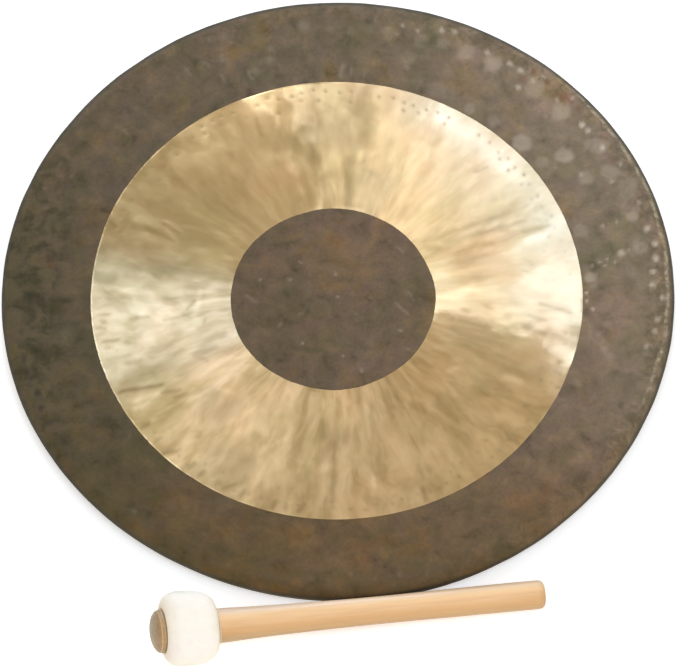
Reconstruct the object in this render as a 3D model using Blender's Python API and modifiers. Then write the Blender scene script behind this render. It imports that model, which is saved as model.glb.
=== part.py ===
"""Chau gong lying face up, with its padded mallet lying beside it.

Metres, +Z up.  The surface that both lie on is z = 0.  The gong's face looks
up, its rim stands on that surface, and the two cord holes are on the +Y side.
The mallet lies along the -Y side, head towards -X.
"""

import math

import bmesh
import bpy
from mathutils import Vector

# ---------------------------------------------------------------- dimensions
# Gong: one sheet of bronze, hammered to a disc with a turned-back rim
GONG_RADIUS = 0.2000        # over the widest line of the shoulder
SHEET = 0.0018              # thickness of the bronze
FACE_Z = 0.0220             # height of the face at the shoulder
CROWN = 0.0015              # how far the middle of the face stands above that
SHOULDER = 0.0080           # outside radius of the turn from face to rim
RIM_SLOPE = math.radians(25)  # the rim leans inwards by this much
CORD_HOLE = 0.0050          # diameter of each hole in the rim
CORD_HOLE_Z = 0.0056
CORD_HOLE_SPREAD = math.radians(12)  # each side of +Y
GONG_Y = 0.02239            # the gong's centre, from the middle of the whole set

# Mallet, measured along its axis from the tip of the turned cap
MALLET_LENGTH = 0.2385
HEAD_RADIUS = 0.0213
HANDLE_END_RADIUS = 0.0081
CAP_LENGTH = 0.0080
CAP_RADIUS = 0.0136
TENON_RADIUS = 0.0080       # thinned end of the handle, inside the head
TENON_START = 0.0106
HANDLE_SHOULDER = 0.0385    # where the tenon ends and the handle proper starts
COVER_SKIN = 0.0026         # thickness of the white cover
CORE_RADIUS = 0.0122
COLLAR_RADIUS = 0.0101      # the core's ends, inside the cover's two openings
DOWEL_RADIUS = 0.0030
MALLET_YAW = math.radians(8.1)   # the handle's end lies nearer the gong
MALLET_GAP = 0.0004         # clear space between the handle and the shoulder
MALLET_TIP_X = -0.1116
FLOOR_GAP = 0.0002          # the mallet's lowest line stands this far up
GAP = 0.0003                # between pieces that touch

GONG_STEPS = 96
MALLET_STEPS = 40


# ------------------------------------------------------------------- helpers
def clear_scene():
    for obj in list(bpy.data.objects):
        bpy.data.objects.remove(obj, do_unlink=True)


def collection(name):
    coll = bpy.data.collections.new(name)
    bpy.context.scene.collection.children.link(coll)
    return coll


def material(name, colour, roughness, metallic):
    mat = bpy.data.materials.new(name)
    mat.use_nodes = True
    shader = mat.node_tree.nodes["Principled BSDF"]
    shader.inputs["Base Color"].default_value = (*colour, 1.0)
    shader.inputs["Roughness"].default_value = roughness
    shader.inputs["Metallic"].default_value = metallic
    return mat


def turned(name, profile, steps, coll, mat, closed):
    """A solid of revolution about local Z.

    The profile is (radius, height) pairs that run down the outer side; a
    closed one goes back up its inner side to its first point.
    """
    mesh = bpy.data.meshes.new(name)
    bm = bmesh.new()
    verts = [bm.verts.new((r, 0.0, z)) for r, z in profile]
    for a, b in zip(verts, verts[1:]):
        bm.edges.new((a, b))
    if closed:
        bm.edges.new((verts[-1], verts[0]))
    bm.to_mesh(mesh)
    bm.free()
    obj = bpy.data.objects.new(name, mesh)
    coll.objects.link(obj)
    screw = obj.modifiers.new("turn", "SCREW")
    screw.axis = "Z"
    screw.angle = math.tau
    screw.steps = steps
    screw.render_steps = steps
    screw.use_merge_vertices = True
    screw.merge_threshold = 0.00001
    screw.use_smooth_shade = True
    mesh.materials.append(mat)
    return obj


def arc(centre_r, centre_z, radius, start, stop, count):
    """count + 1 points on a circle, angles in degrees from the +radius side."""
    points = []
    for i in range(count + 1):
        a = math.radians(start + (stop - start) * i / count)
        points.append((centre_r + radius * math.cos(a), centre_z + radius * math.sin(a)))
    return points


def smooth_line(knots, count):
    """count + 1 points on a monotone cubic through (s, radius) knots."""
    n = len(knots)
    slopes = [(knots[i + 1][1] - knots[i][1]) / (knots[i + 1][0] - knots[i][0]) for i in range(n - 1)]
    tangents = [slopes[0]]
    for i in range(1, n - 1):
        a, b = slopes[i - 1], slopes[i]
        tangents.append(0.0 if a * b <= 0 else 2 * a * b / (a + b))
    tangents.append(slopes[-1])
    out = []
    for k in range(count + 1):
        s = knots[0][0] + (knots[-1][0] - knots[0][0]) * k / count
        i = max(j for j in range(n - 1) if knots[j][0] <= s + 1e-12)
        h = knots[i + 1][0] - knots[i][0]
        t = (s - knots[i][0]) / h
        value = (
            (2 * t**3 - 3 * t**2 + 1) * knots[i][1]
            + (t**3 - 2 * t**2 + t) * h * tangents[i]
            + (-2 * t**3 + 3 * t**2) * knots[i + 1][1]
            + (t**3 - t**2) * h * tangents[i + 1]
        )
        out.append((s, value))
    return out


# ---------------------------------------------------------------------- gong
def gong_profile():
    """Face, shoulder and rim down the outside, then back along the inside."""
    centre_r = GONG_RADIUS - SHOULDER
    centre_z = FACE_Z - SHOULDER
    lean = math.degrees(RIM_SLOPE)

    def face(r):
        return FACE_Z + CROWN * (1.0 - (r / centre_r) ** 2)

    radii = [centre_r * f for f in (0.0, 0.22, 0.42, 0.6, 0.76, 0.9)]
    outside = [(r, face(r)) for r in radii]
    outside += arc(centre_r, centre_z, SHOULDER, 90, -lean, 9)
    drop_r, drop_z = outside[-1]
    lip_r = drop_r - drop_z * math.tan(RIM_SLOPE)
    outside.append((lip_r, 0.0))
    lip_width = SHEET / math.cos(RIM_SLOPE)
    inside = [(lip_r - lip_width, 0.0)]
    inside += arc(centre_r, centre_z, SHOULDER - SHEET, -lean, 90, 9)
    inside += [(r, face(r) - SHEET) for r in reversed(radii)]
    return outside + inside


def cord_hole_cutter(index, angle, coll):
    """A round cutter that crosses the rim from inside to outside."""
    mesh = bpy.data.meshes.new(f"cord_hole_cutter_{index}")
    bm = bmesh.new()
    bmesh.ops.create_cone(
        bm, cap_ends=True, segments=28, radius1=CORD_HOLE / 2, radius2=CORD_HOLE / 2, depth=0.016
    )
    bm.to_mesh(mesh)
    bm.free()
    cutter = bpy.data.objects.new(mesh.name, mesh)
    coll.objects.link(cutter)
    # the hole is square to the leaning rim
    out = Vector((math.sin(angle), math.cos(angle), 0.0))
    axis = (out * math.cos(RIM_SLOPE) - Vector((0, 0, 1)) * math.sin(RIM_SLOPE)).normalized()
    rim_r = GONG_RADIUS - SHOULDER + (SHOULDER - SHEET / 2) * math.cos(RIM_SLOPE)
    top_z = FACE_Z - SHOULDER - (SHOULDER - SHEET / 2) * math.sin(RIM_SLOPE)
    rim_r -= (top_z - CORD_HOLE_Z) * math.tan(RIM_SLOPE)
    cutter.location = Vector((0, GONG_Y, 0)) + out * rim_r + Vector((0, 0, CORD_HOLE_Z))
    cutter.rotation_mode = "QUATERNION"
    cutter.rotation_quaternion = Vector((0, 0, 1)).rotation_difference(axis)
    cutter.hide_render = True
    cutter.display_type = "WIRE"
    return cutter


def make_gong(coll, cutters, mats):
    gong = turned("gong_disc", gong_profile(), GONG_STEPS, coll, mats["bronze"], closed=False)
    gong.location = (0.0, GONG_Y, 0.0)
    for i, side in enumerate((-1, 1)):
        cutter = cord_hole_cutter(i, side * CORD_HOLE_SPREAD, cutters)
        cut = gong.modifiers.new(f"cord_hole_{i}", "BOOLEAN")
        cut.operation = "DIFFERENCE"
        cut.solver = "EXACT"
        cut.object = cutter
    return gong


# -------------------------------------------------------------------- mallet
HANDLE_KNOTS = (
    (0.0000, 0.01010),   # from the end of the cover along to the handle's end
    (0.0110, 0.00925),
    (0.0240, 0.00885),
    (0.0640, 0.00830),
    (0.1250, 0.00828),
    (0.1800, 0.00812),
)

COVER_KNOTS = (
    (0.0104, 0.0128),
    (0.0118, 0.0163),
    (0.0140, 0.0190),
    (0.0175, 0.0207),
    (0.0225, HEAD_RADIUS),
    (0.0275, 0.0211),
    (0.0325, 0.0199),
    (0.0368, 0.0174),
    (0.0397, 0.0140),
    (0.0412, 0.0112),
)


def along(points):
    """(s, radius) points to (radius, height): the cap's tip is height 0."""
    return [(r, -s) for s, r in points]


def offset_inwards(points, distance):
    """(s, radius) points moved square to their line, towards the axis."""
    out = []
    for i, (s, r) in enumerate(points):
        s0, r0 = points[max(i - 1, 0)]
        s1, r1 = points[min(i + 1, len(points) - 1)]
        length = math.hypot(s1 - s0, r1 - r0)
        out.append((s + (r1 - r0) / length * distance, r - (s1 - s0) / length * distance))
    return out


def handle_profile():
    start = HANDLE_SHOULDER
    taper = [(start + GAP, 0.0101), (0.0440, 0.0101)]
    # the handle proper, from the cover's neck to its end
    shift = 0.0440
    taper = [taper[0]] + [(shift + s, r) for s, r in smooth_line(HANDLE_KNOTS, 12)]
    last = MALLET_LENGTH
    round_over = 0.0024
    end = [
        (last - round_over + round_over * math.sin(math.radians(a)),
         HANDLE_END_RADIUS - round_over + round_over * math.cos(math.radians(a)))
        for a in (0, 22.5, 45, 67.5, 90)
    ]
    # dowel socket in the tenon's front face, then the tenon
    socket = DOWEL_RADIUS + GAP
    depth = TENON_START + 0.0120
    front = [(depth, 0.0), (depth, socket), (TENON_START, socket),
             (TENON_START, TENON_RADIUS - 0.0006), (TENON_START + 0.0006, TENON_RADIUS),
             (start + GAP, TENON_RADIUS)]
    return along(front + taper + end + [(last, 0.0)])


def cap_profile():
    """A low turned button: dome, a bead line, and a square base."""
    dome = []
    for i in range(8):
        a = math.radians(90 * i / 8.4)
        dome.append((CAP_LENGTH * 0.62 * (1 - math.cos(a)), 0.0118 * math.sin(a)))
    edge = [(0.0052, 0.01185), (0.0057, 0.01215), (0.0059, 0.0132), (0.0066, CAP_RADIUS),
            (0.0075, CAP_RADIUS), (CAP_LENGTH, CAP_RADIUS - 0.0005)]
    socket = DOWEL_RADIUS + GAP
    back = [(CAP_LENGTH, socket), (CAP_LENGTH - 0.0048, socket), (CAP_LENGTH - 0.0048, 0.0)]
    return along(dome + edge + back)


def ring_profile(s0, s1, r_in, r_out):
    return along([(s0, r_in), (s0, r_out), (s1, r_out), (s1, r_in)])


def cover_profiles():
    outer = smooth_line(COVER_KNOTS, 16)
    inner = offset_inwards(outer, COVER_SKIN)
    # the two openings: round the washer's shoulder in front, round the handle behind
    inner = [(s, max(r, 0.0104)) for s, r in inner if 0.0104 + 0.0008 < s < 0.0412 - 0.0008]
    front = [(0.0104, 0.0104)]
    back = [(0.0412, 0.0104)]
    return outer, back + list(reversed(inner)) + front


def make_mallet(coll, mats):
    parts = []

    def add(name, profile, closed, mat):
        parts.append(turned(name, profile, MALLET_STEPS, coll, mats[mat], closed))

    add("mallet_handle", handle_profile(), False, "beech")
    add("end_cap", cap_profile(), False, "dark_wood")
    add("end_washer", ring_profile(CAP_LENGTH + GAP, CAP_LENGTH + GAP + 0.0018, DOWEL_RADIUS + GAP, 0.0129),
        True, "leather")
    dowel_start = CAP_LENGTH - 0.0048 + GAP
    dowel_end = TENON_START + 0.0120 - GAP
    add("cap_dowel", along([(dowel_start, 0.0), (dowel_start, DOWEL_RADIUS - 0.0004),
                            (dowel_start + 0.0004, DOWEL_RADIUS), (dowel_end - 0.0004, DOWEL_RADIUS),
                            (dowel_end, DOWEL_RADIUS - 0.0004), (dowel_end, 0.0)]), False, "beech")
    bore = TENON_RADIUS + GAP
    core = [(0.0104, bore), (0.0104, COLLAR_RADIUS), (0.0138, COLLAR_RADIUS), (0.0138, CORE_RADIUS),
            (0.0352, CORE_RADIUS), (0.0352, COLLAR_RADIUS), (HANDLE_SHOULDER, COLLAR_RADIUS),
            (HANDLE_SHOULDER, bore)]
    add("mallet_core", along(core), True, "core_wood")

    outer, inner = cover_profiles()
    add("head_cover", along(outer + inner), True, "fleece")
    # wound padding: fills the cover down to the core
    fill = [(s, r) for s, r in offset_inwards(smooth_line(COVER_KNOTS, 16), COVER_SKIN + GAP)
            if 0.0128 < s < 0.0382 and r > CORE_RADIUS + 0.0012]
    pad = [(fill[0][0], CORE_RADIUS + GAP)] + fill + [(fill[-1][0], CORE_RADIUS + GAP)]
    add("felt_winding", along(pad), True, "felt")
    tie = arc(0.01135, -0.04195, 0.00055, 90, -270, 8)[:-1]
    add("cover_tie", tie, True, "thread")
    return parts


def place_mallet(parts, coll):
    """Lay the mallet on the surface, its handle beside the gong's shoulder."""
    head_s = 0.0225            # the head's widest line
    run = MALLET_LENGTH - 0.0024 - head_s
    pitch = math.asin((HEAD_RADIUS - HANDLE_END_RADIUS) / run)
    head_z = FLOOR_GAP + HEAD_RADIUS * math.cos(pitch)
    # unit vector from the cap's tip towards the handle's end
    flat = Vector((math.cos(MALLET_YAW), math.sin(MALLET_YAW), 0.0))
    way = flat * math.cos(pitch) - Vector((0, 0, 1)) * math.sin(pitch)
    tip_z = head_z + head_s * math.sin(pitch)
    # how far the axis passes from the gong's centre, in plan: the handle's
    # radius, the shoulder's radius and the gap, where they come closest
    side = Vector((flat.y, -flat.x, 0.0))
    handle_r = 0.0083
    ring_r = GONG_RADIUS - SHOULDER
    tip_y = GONG_Y - GONG_RADIUS
    for _ in range(12):
        tip = Vector((MALLET_TIP_X, tip_y, 0.0))
        along_run = (Vector((0, GONG_Y, 0)) - tip).dot(flat)
        z_here = tip_z - along_run * math.tan(pitch)
        rise = abs(z_here - (FACE_Z - SHOULDER))
        reach = math.sqrt((handle_r + SHOULDER + MALLET_GAP) ** 2 - rise**2)
        distance = (tip - Vector((0, GONG_Y, 0))).dot(side)
        tip_y += (ring_r + reach - distance) / side.y
    empty = bpy.data.objects.new("mallet_axis", None)
    coll.objects.link(empty)
    empty.location = (MALLET_TIP_X, tip_y, tip_z)
    empty.rotation_mode = "QUATERNION"
    empty.rotation_quaternion = Vector((0, 0, 1)).rotation_difference(-way)
    for obj in parts:
        obj.parent = empty
    return empty


def main():
    clear_scene()
    coll = collection("chau_gong")
    cutters = collection("cutters")
    mats = {
        "bronze": material("bronze", (0.60, 0.43, 0.22), 0.38, 1.0),
        "beech": material("beech", (0.78, 0.56, 0.33), 0.55, 0.0),
        "dark_wood": material("dark_wood", (0.33, 0.22, 0.13), 0.45, 0.0),
        "core_wood": material("core_wood", (0.62, 0.46, 0.29), 0.7, 0.0),
        "leather": material("leather", (0.20, 0.13, 0.08), 0.7, 0.0),
        "fleece": material("fleece", (0.88, 0.85, 0.78), 0.95, 0.0),
        "felt": material("felt", (0.72, 0.70, 0.66), 0.95, 0.0),
        "thread": material("thread", (0.85, 0.82, 0.74), 0.85, 0.0),
    }
    make_gong(coll, cutters, mats)
    place_mallet(make_mallet(coll, mats), coll)
    bpy.context.view_layer.update()


main()
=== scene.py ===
import math

import bmesh
import bpy
import numpy as np
from mathutils import Matrix, Vector


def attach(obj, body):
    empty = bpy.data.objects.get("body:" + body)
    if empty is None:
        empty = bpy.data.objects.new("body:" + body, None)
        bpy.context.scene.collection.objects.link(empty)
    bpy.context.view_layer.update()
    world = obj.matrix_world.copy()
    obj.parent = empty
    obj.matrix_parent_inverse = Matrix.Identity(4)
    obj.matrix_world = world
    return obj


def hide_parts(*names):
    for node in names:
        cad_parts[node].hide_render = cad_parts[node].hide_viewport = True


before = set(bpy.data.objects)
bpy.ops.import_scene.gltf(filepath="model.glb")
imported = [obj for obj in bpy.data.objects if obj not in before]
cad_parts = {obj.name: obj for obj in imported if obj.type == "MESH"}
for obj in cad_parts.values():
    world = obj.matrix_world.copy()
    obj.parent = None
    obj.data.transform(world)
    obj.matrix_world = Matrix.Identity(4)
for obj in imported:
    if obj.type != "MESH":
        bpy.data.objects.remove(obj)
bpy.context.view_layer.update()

# ------------------------------------------------------------- dimensions
GONG_R = 0.2000
SHEET = 0.0018
FACE_Z = 0.0220
CROWN = 0.0015
SHOULDER = 0.0080
SLOPE = math.radians(25)
GONG_Y = 0.02239
HOLE_D = 0.0050
HOLE_Z = 0.0056
HOLE_SPREAD = math.radians(12)

# the two edges of the scraped ring, from the gong's own centre
DISC_C, DISC_R = (-0.0028, -0.0034), 0.0610
RING_C, RING_R = (-0.0007, -0.0034), 0.1469
SCRAPE_C = (-0.0020, -0.0060)

MALLET_LENGTH = 0.2385
HEAD_R = 0.0213
END_R = 0.0081
MALLET_YAW = math.radians(8.1)
MALLET_TIP_X = -0.1116

rng = np.random.default_rng(7)


# ------------------------------------------------------------------ noise
def _hash(i, j, k, seed):
    h = (i * 374761393 + j * 668265263 + k * 2147483647 + seed * 1274126177) & 0xFFFFFFFF
    h = ((h ^ (h >> 13)) * 1274126177) & 0xFFFFFFFF
    h = (h ^ (h >> 16)) & 0xFFFFFFFF
    return h.astype(np.float64) / 4294967295.0 * 2 - 1


def noise3(x, y, z, seed=0):
    """Smooth value noise, about -1 to 1."""
    x, y, z = np.broadcast_arrays(np.asarray(x, float), np.asarray(y, float), np.asarray(z, float))
    i, j, k = (np.floor(v).astype(np.int64) for v in (x, y, z))
    fx, fy, fz = x - i, y - j, z - k
    fx, fy, fz = (f * f * f * (f * (f * 6 - 15) + 10) for f in (fx, fy, fz))
    out = 0
    for a in (0, 1):
        for b in (0, 1):
            for c in (0, 1):
                w = (fx if a else 1 - fx) * (fy if b else 1 - fy) * (fz if c else 1 - fz)
                out = out + w * _hash(i + a, j + b, k + c, seed)
    return out


def smoothstep(a, b, x):
    t = np.clip((x - a) / (b - a), 0, 1)
    return t * t * (3 - 2 * t)


# --------------------------------------------------------------- the gong
def near_angle(theta, centre, half):
    """1 at an angle about the gong (degrees), falling smoothly to 0 that far from it."""
    d = np.abs((np.degrees(theta) - centre + 180) % 360 - 180)
    return 1 - smoothstep(0, half, d)


def edge_radius(theta, centre, radius, seed, wobble):
    """Distance from the gong's centre to a slightly uneven off-centre circle."""
    dx, dy = np.cos(theta), np.sin(theta)
    p = centre[0] * dx + centre[1] * dy
    r = p + np.sqrt(radius**2 - centre[0] ** 2 - centre[1] ** 2 + p**2)
    r = r + wobble * noise3(2.2 * dx, 2.2 * dy, 0, seed) + 0.4 * wobble * noise3(9 * dx, 9 * dy, 3, seed)
    return r + 0.22 * wobble * noise3(34 * dx, 34 * dy, 5, seed)


def disc_edge(theta):
    return edge_radius(theta, DISC_C, DISC_R, 11, 0.00045)


def ring_edge(theta):
    r = edge_radius(theta, RING_C, RING_R, 12, 0.00034) - 0.0005 * np.cos(2 * theta)
    return r + 0.00016 * near_angle(theta, 205, 60) * noise3(90 * np.cos(theta), 90 * np.sin(theta), 8, 12)


def outline(theta):
    """How far the gong's edge lies outside its circle: the rim was beaten by eye."""
    return 0.001 * (0.66 + 0.46 * np.cos(theta) + 1.20 * np.sin(theta) - 0.12 * np.cos(2 * theta) + 0.33 * np.sin(2 * theta)
                    - 0.21 * np.cos(3 * theta) + 0.09 * np.sin(3 * theta) + 0.15 * np.cos(4 * theta) + 0.23 * np.sin(4 * theta))


def face_z(r):
    return FACE_Z + CROWN * (1.0 - (r / (GONG_R - SHOULDER)) ** 2)


# Hammer and tool marks: (angle in degrees, distance from the centre in mm,
# diameter in mm, strength). Angle 0 is to the right, 90 to the back.
FLATS = [
    (80.2, 179.9, 9.3, 0.35), (73.9, 179.5, 8.7, 0.4), (69.8, 181.7, 7.4, 0.5), (65.1, 182, 11.2, 0.7), (59.5, 182.3, 11.2, 0.9), (50, 183, 11.8, 0.9),
    (43.1, 182.3, 11.8, 0.9), (43.2, 150.6, 11.2, 1.1), (34.9, 164.6, 10.5, 1.3), (36.4, 152, 7.4, 0.6), (33.2, 184.6, 11.8, 0.8), (28, 167.6, 8.7, 0.8),
    (27.1, 181.7, 11.2, 0.8), (23.3, 189, 9.3, 0.7), (21.7, 185.6, 8.7, 0.5), (16.8, 183.8, 6.8, 1), (16.6, 150.7, 8.7, 0.7), (10.1, 182.4, 10.5, 0.7),
    (9.4, 171.2, 5, 1.1), (67.3, 151.9, 10.5, 0.35), (75.2, 165.9, 9.3, 0.3), (57.9, 148.6, 6.8, 0.6), (51.7, 149.3, 7.4, 0.5), (38.1, 175.9, 13.6, 0.2),
    (36.1, 190.7, 7.4, 0.3), (4.5, 150.9, 7.4, 0.8), (6.9, 149.7, 5, 0.3),
]
# punch dots: painted pale on the oxide, partly burnished metal and partly a painted highlight where their dimples
# catch the light
DOTS = [
    (78, 186.8, 2.7, 0.5), (75, 185.6, 2.7, 0.5), (70.9, 190.4, 3.3, 0.8), (68.6, 191.8, 3.3, 0.7), (61.4, 187.3, 3.3, 0.8), (56.8, 187.6, 3.3, 1),
    (54.3, 187.4, 3.3, 1), (52.5, 177.5, 3.3, 1), (51.2, 186.7, 2.3, 0.8), (50.3, 192.6, 2.3, 0.7), (43.6, 193.6, 2.3, 0.7), (45.2, 186.2, 2.7, 0.6),
    (38.2, 186.1, 3.7, 1.1), (36.6, 186.5, 3.3, 1.1), (35.7, 196.2, 2.3, 0.5), (32.2, 186.9, 3.3, 1), (29.2, 166.8, 2.7, 0.7), (27.7, 190.8, 2.7, 0.6),
    (25.1, 180.6, 2.7, 0.7), (19.2, 190.2, 2.7, 0.7), (13.7, 189.8, 3.7, 1), (10.4, 192.3, 3.7, 1.1), (7.4, 191.3, 3.7, 1.1), (4.8, 188.6, 3.3, 1),
    (2, 187.5, 3.3, 1), (-0.5, 193.9, 4, 1.2), (-4.9, 191, 3.3, 0.8), (-7.4, 190.1, 3.3, 0.7), (-10.7, 187, 3, 0.6), (-18.5, 196.3, 3, 0.5),
    (0.4, 148, 2.1, 1), (-1.7, 148.1, 2, 0.9), (-3.6, 152.5, 2.3, 0.9), (16.3, 164.8, 2.3, 0.6), (16.4, 173.5, 2, 0.5),
    (7.3, 152.8, 2, 0.5), (8, 157.9, 2, 0.5), (8.5, 162.3, 2.3, 0.6), (7.6, 166.7, 2.3, 0.6),
    (9.7, 171.3, 2.7, 0.7), (9.8, 176.2, 2.3, 0.5), (10.2, 181.3, 2.3, 0.4), (6.9, 160.5, 2, 0.5),
]
DARK_DOTS = [
    (176.2, 188.6, 3.4, 0.7), (-166.9, 191.4, 3.4, 0.8), (-164.5, 187.8, 3.4, 0.8), (-162.8, 190.1, 3.4, 0.8), (-159.8, 190.3, 4.1, 1), (-156.7, 191.9, 4.1, 1),
    (-153.4, 192.3, 3.8, 0.8), (-148.4, 190.9, 3.8, 0.7), (-168.1, 181.3, 3.4, 0.5), (178, 189.4, 4.8, 0.5), (-179.7, 184.6, 6.2, 0.4), (-176.7, 180.1, 6.9, 0.4),
    (-175.1, 185.8, 5.5, 0.4), (-172.4, 189.8, 3.4, 0.5), (-151.1, 191.8, 3.1, 0.5), (-145.2, 190.7, 3.1, 0.4), (173.3, 188.2, 2.7, 0.4), (7, 153.3, 6.9, 0.8),
    (-8.8, 160, 6.2, 0.4), (-178.9, 190.6, 3.4, 0.4), (-169.8, 192.4, 2.7, 0.5),
]
# soft pale spots without a pit
BLOOMS = [
    (108, 159.4, 5.4, 0.45), (103.6, 171.9, 4.2, 0.28), (104.2, 164.7, 4.8, 0.38), (96.5, 183.8, 6, 0.35), (92.7, 157.9, 5.4, 0.22), (4, 150.2, 5.4, 0.6),
    (2.2, 152.3, 4.8, 0.5), (-13, 162.9, 4.2, 0.45), (-14.4, 166.9, 4.2, 0.5), (-7.5, 161.3, 4.2, 0.55), (-9.4, 157.9, 3.6, 0.45), (11.6, 183.9, 6, 0.35),
    (87.6, 178.8, 5.4, 0.25), (83.6, 182.5, 4.8, 0.25), (91.4, 180.7, 4.8, 0.22), (111.4, 188.9, 5.4, 0.25), (71.3, 152.9, 7.2, 0.22), (65.8, 166.2, 7.2, 0.25),
    (-22.6, 153.3, 3.6, 0.4), (-27.9, 152, 4.8, 0.2),
]
# (angle, distance, length, width, turn from the radius in degrees, strength) of short scratches
SCRATCHES = [
    (109.5, 159.8, 5, 2, -14, 0.55), (109.5, 156.2, 5.6, 2, 12, 0.55), (89.4, 149.9, 6.4, 1.8, -7, 0.55), (88.9, 154, 5.4, 1.8, -27, 0.5), (115.1, 161.5, 8.4, 1.6, -18, 0.35),
    (113.4, 175.1, 6.3, 1.6, -23, 0.25), (-11.7, 157.3, 8.1, 1.8, -13, 0.35), (-13.8, 164, 14, 2, -54, 0.4), (-9.3, 152.1, 14.1, 1.8, -67, 0.35), (-9.3, 158.7, 7.9, 2.4, 41, 0.45),
    (-22.7, 154.6, 6.3, 2, -37, 0.45), (86.9, 151.8, 7, 1.6, -3, 0.35), (84, 151.1, 7.1, 1.6, -6, 0.3), (99.3, 133.1, 7.3, 1.8, 9, 0.2), (120.7, 176.4, 7.8, 1.8, -2, 0.3),
    (116.7, 175.1, 6.6, 1.8, 10, 0.25), (64.9, 150.7, 7.8, 1.8, 36, 0.3), (-37, 181.1, 7.8, 1.6, -24, 0.25), (138.9, 167.9, 6.6, 1.6, -13, 0.2), (-14.7, 39.6, 12.9, 1.4, -36, 0.4),
    (-2.5, 43.7, 10.4, 1.4, -55, 0.35), (-176.3, 51.5, 10.7, 1.5, -35, 0.35), (39.6, 47.8, 7.9, 1.4, -72, 0.35),
]
RUST = [
    (52.2, 191, 5.2, 0.8), (52.8, 183.6, 4.6, 0.7), (44.8, 190.2, 5.9, 1), (43.4, 191.3, 4.6, 1), (46, 189.1, 3.9, 0.7), (41.2, 192.1, 4.6, 0.6),
    (33.8, 191.1, 5.2, 0.4), (172.9, 172.8, 5.9, 0.7), (-8.8, 160, 5.2, 0.6), (28.8, 188.6, 4.6, 0.4), (16.6, 188, 3.9, 0.4), (48.9, 190.6, 4.6, 0.5),
    (-55, 190, 12, 0.1), (-20, 184, 9, 0.1), (205, 160, 9, 0.2), (-70, 188, 10, 0.15), (-85, 183, 12, 0.12), (-100, 189, 10, 0.15),
    (255, 160, 10, 0.15), (238, 156, 8, 0.15), (-29, 178, 9, 0.15), (-33, 176, 7, 0.15),
]


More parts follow.
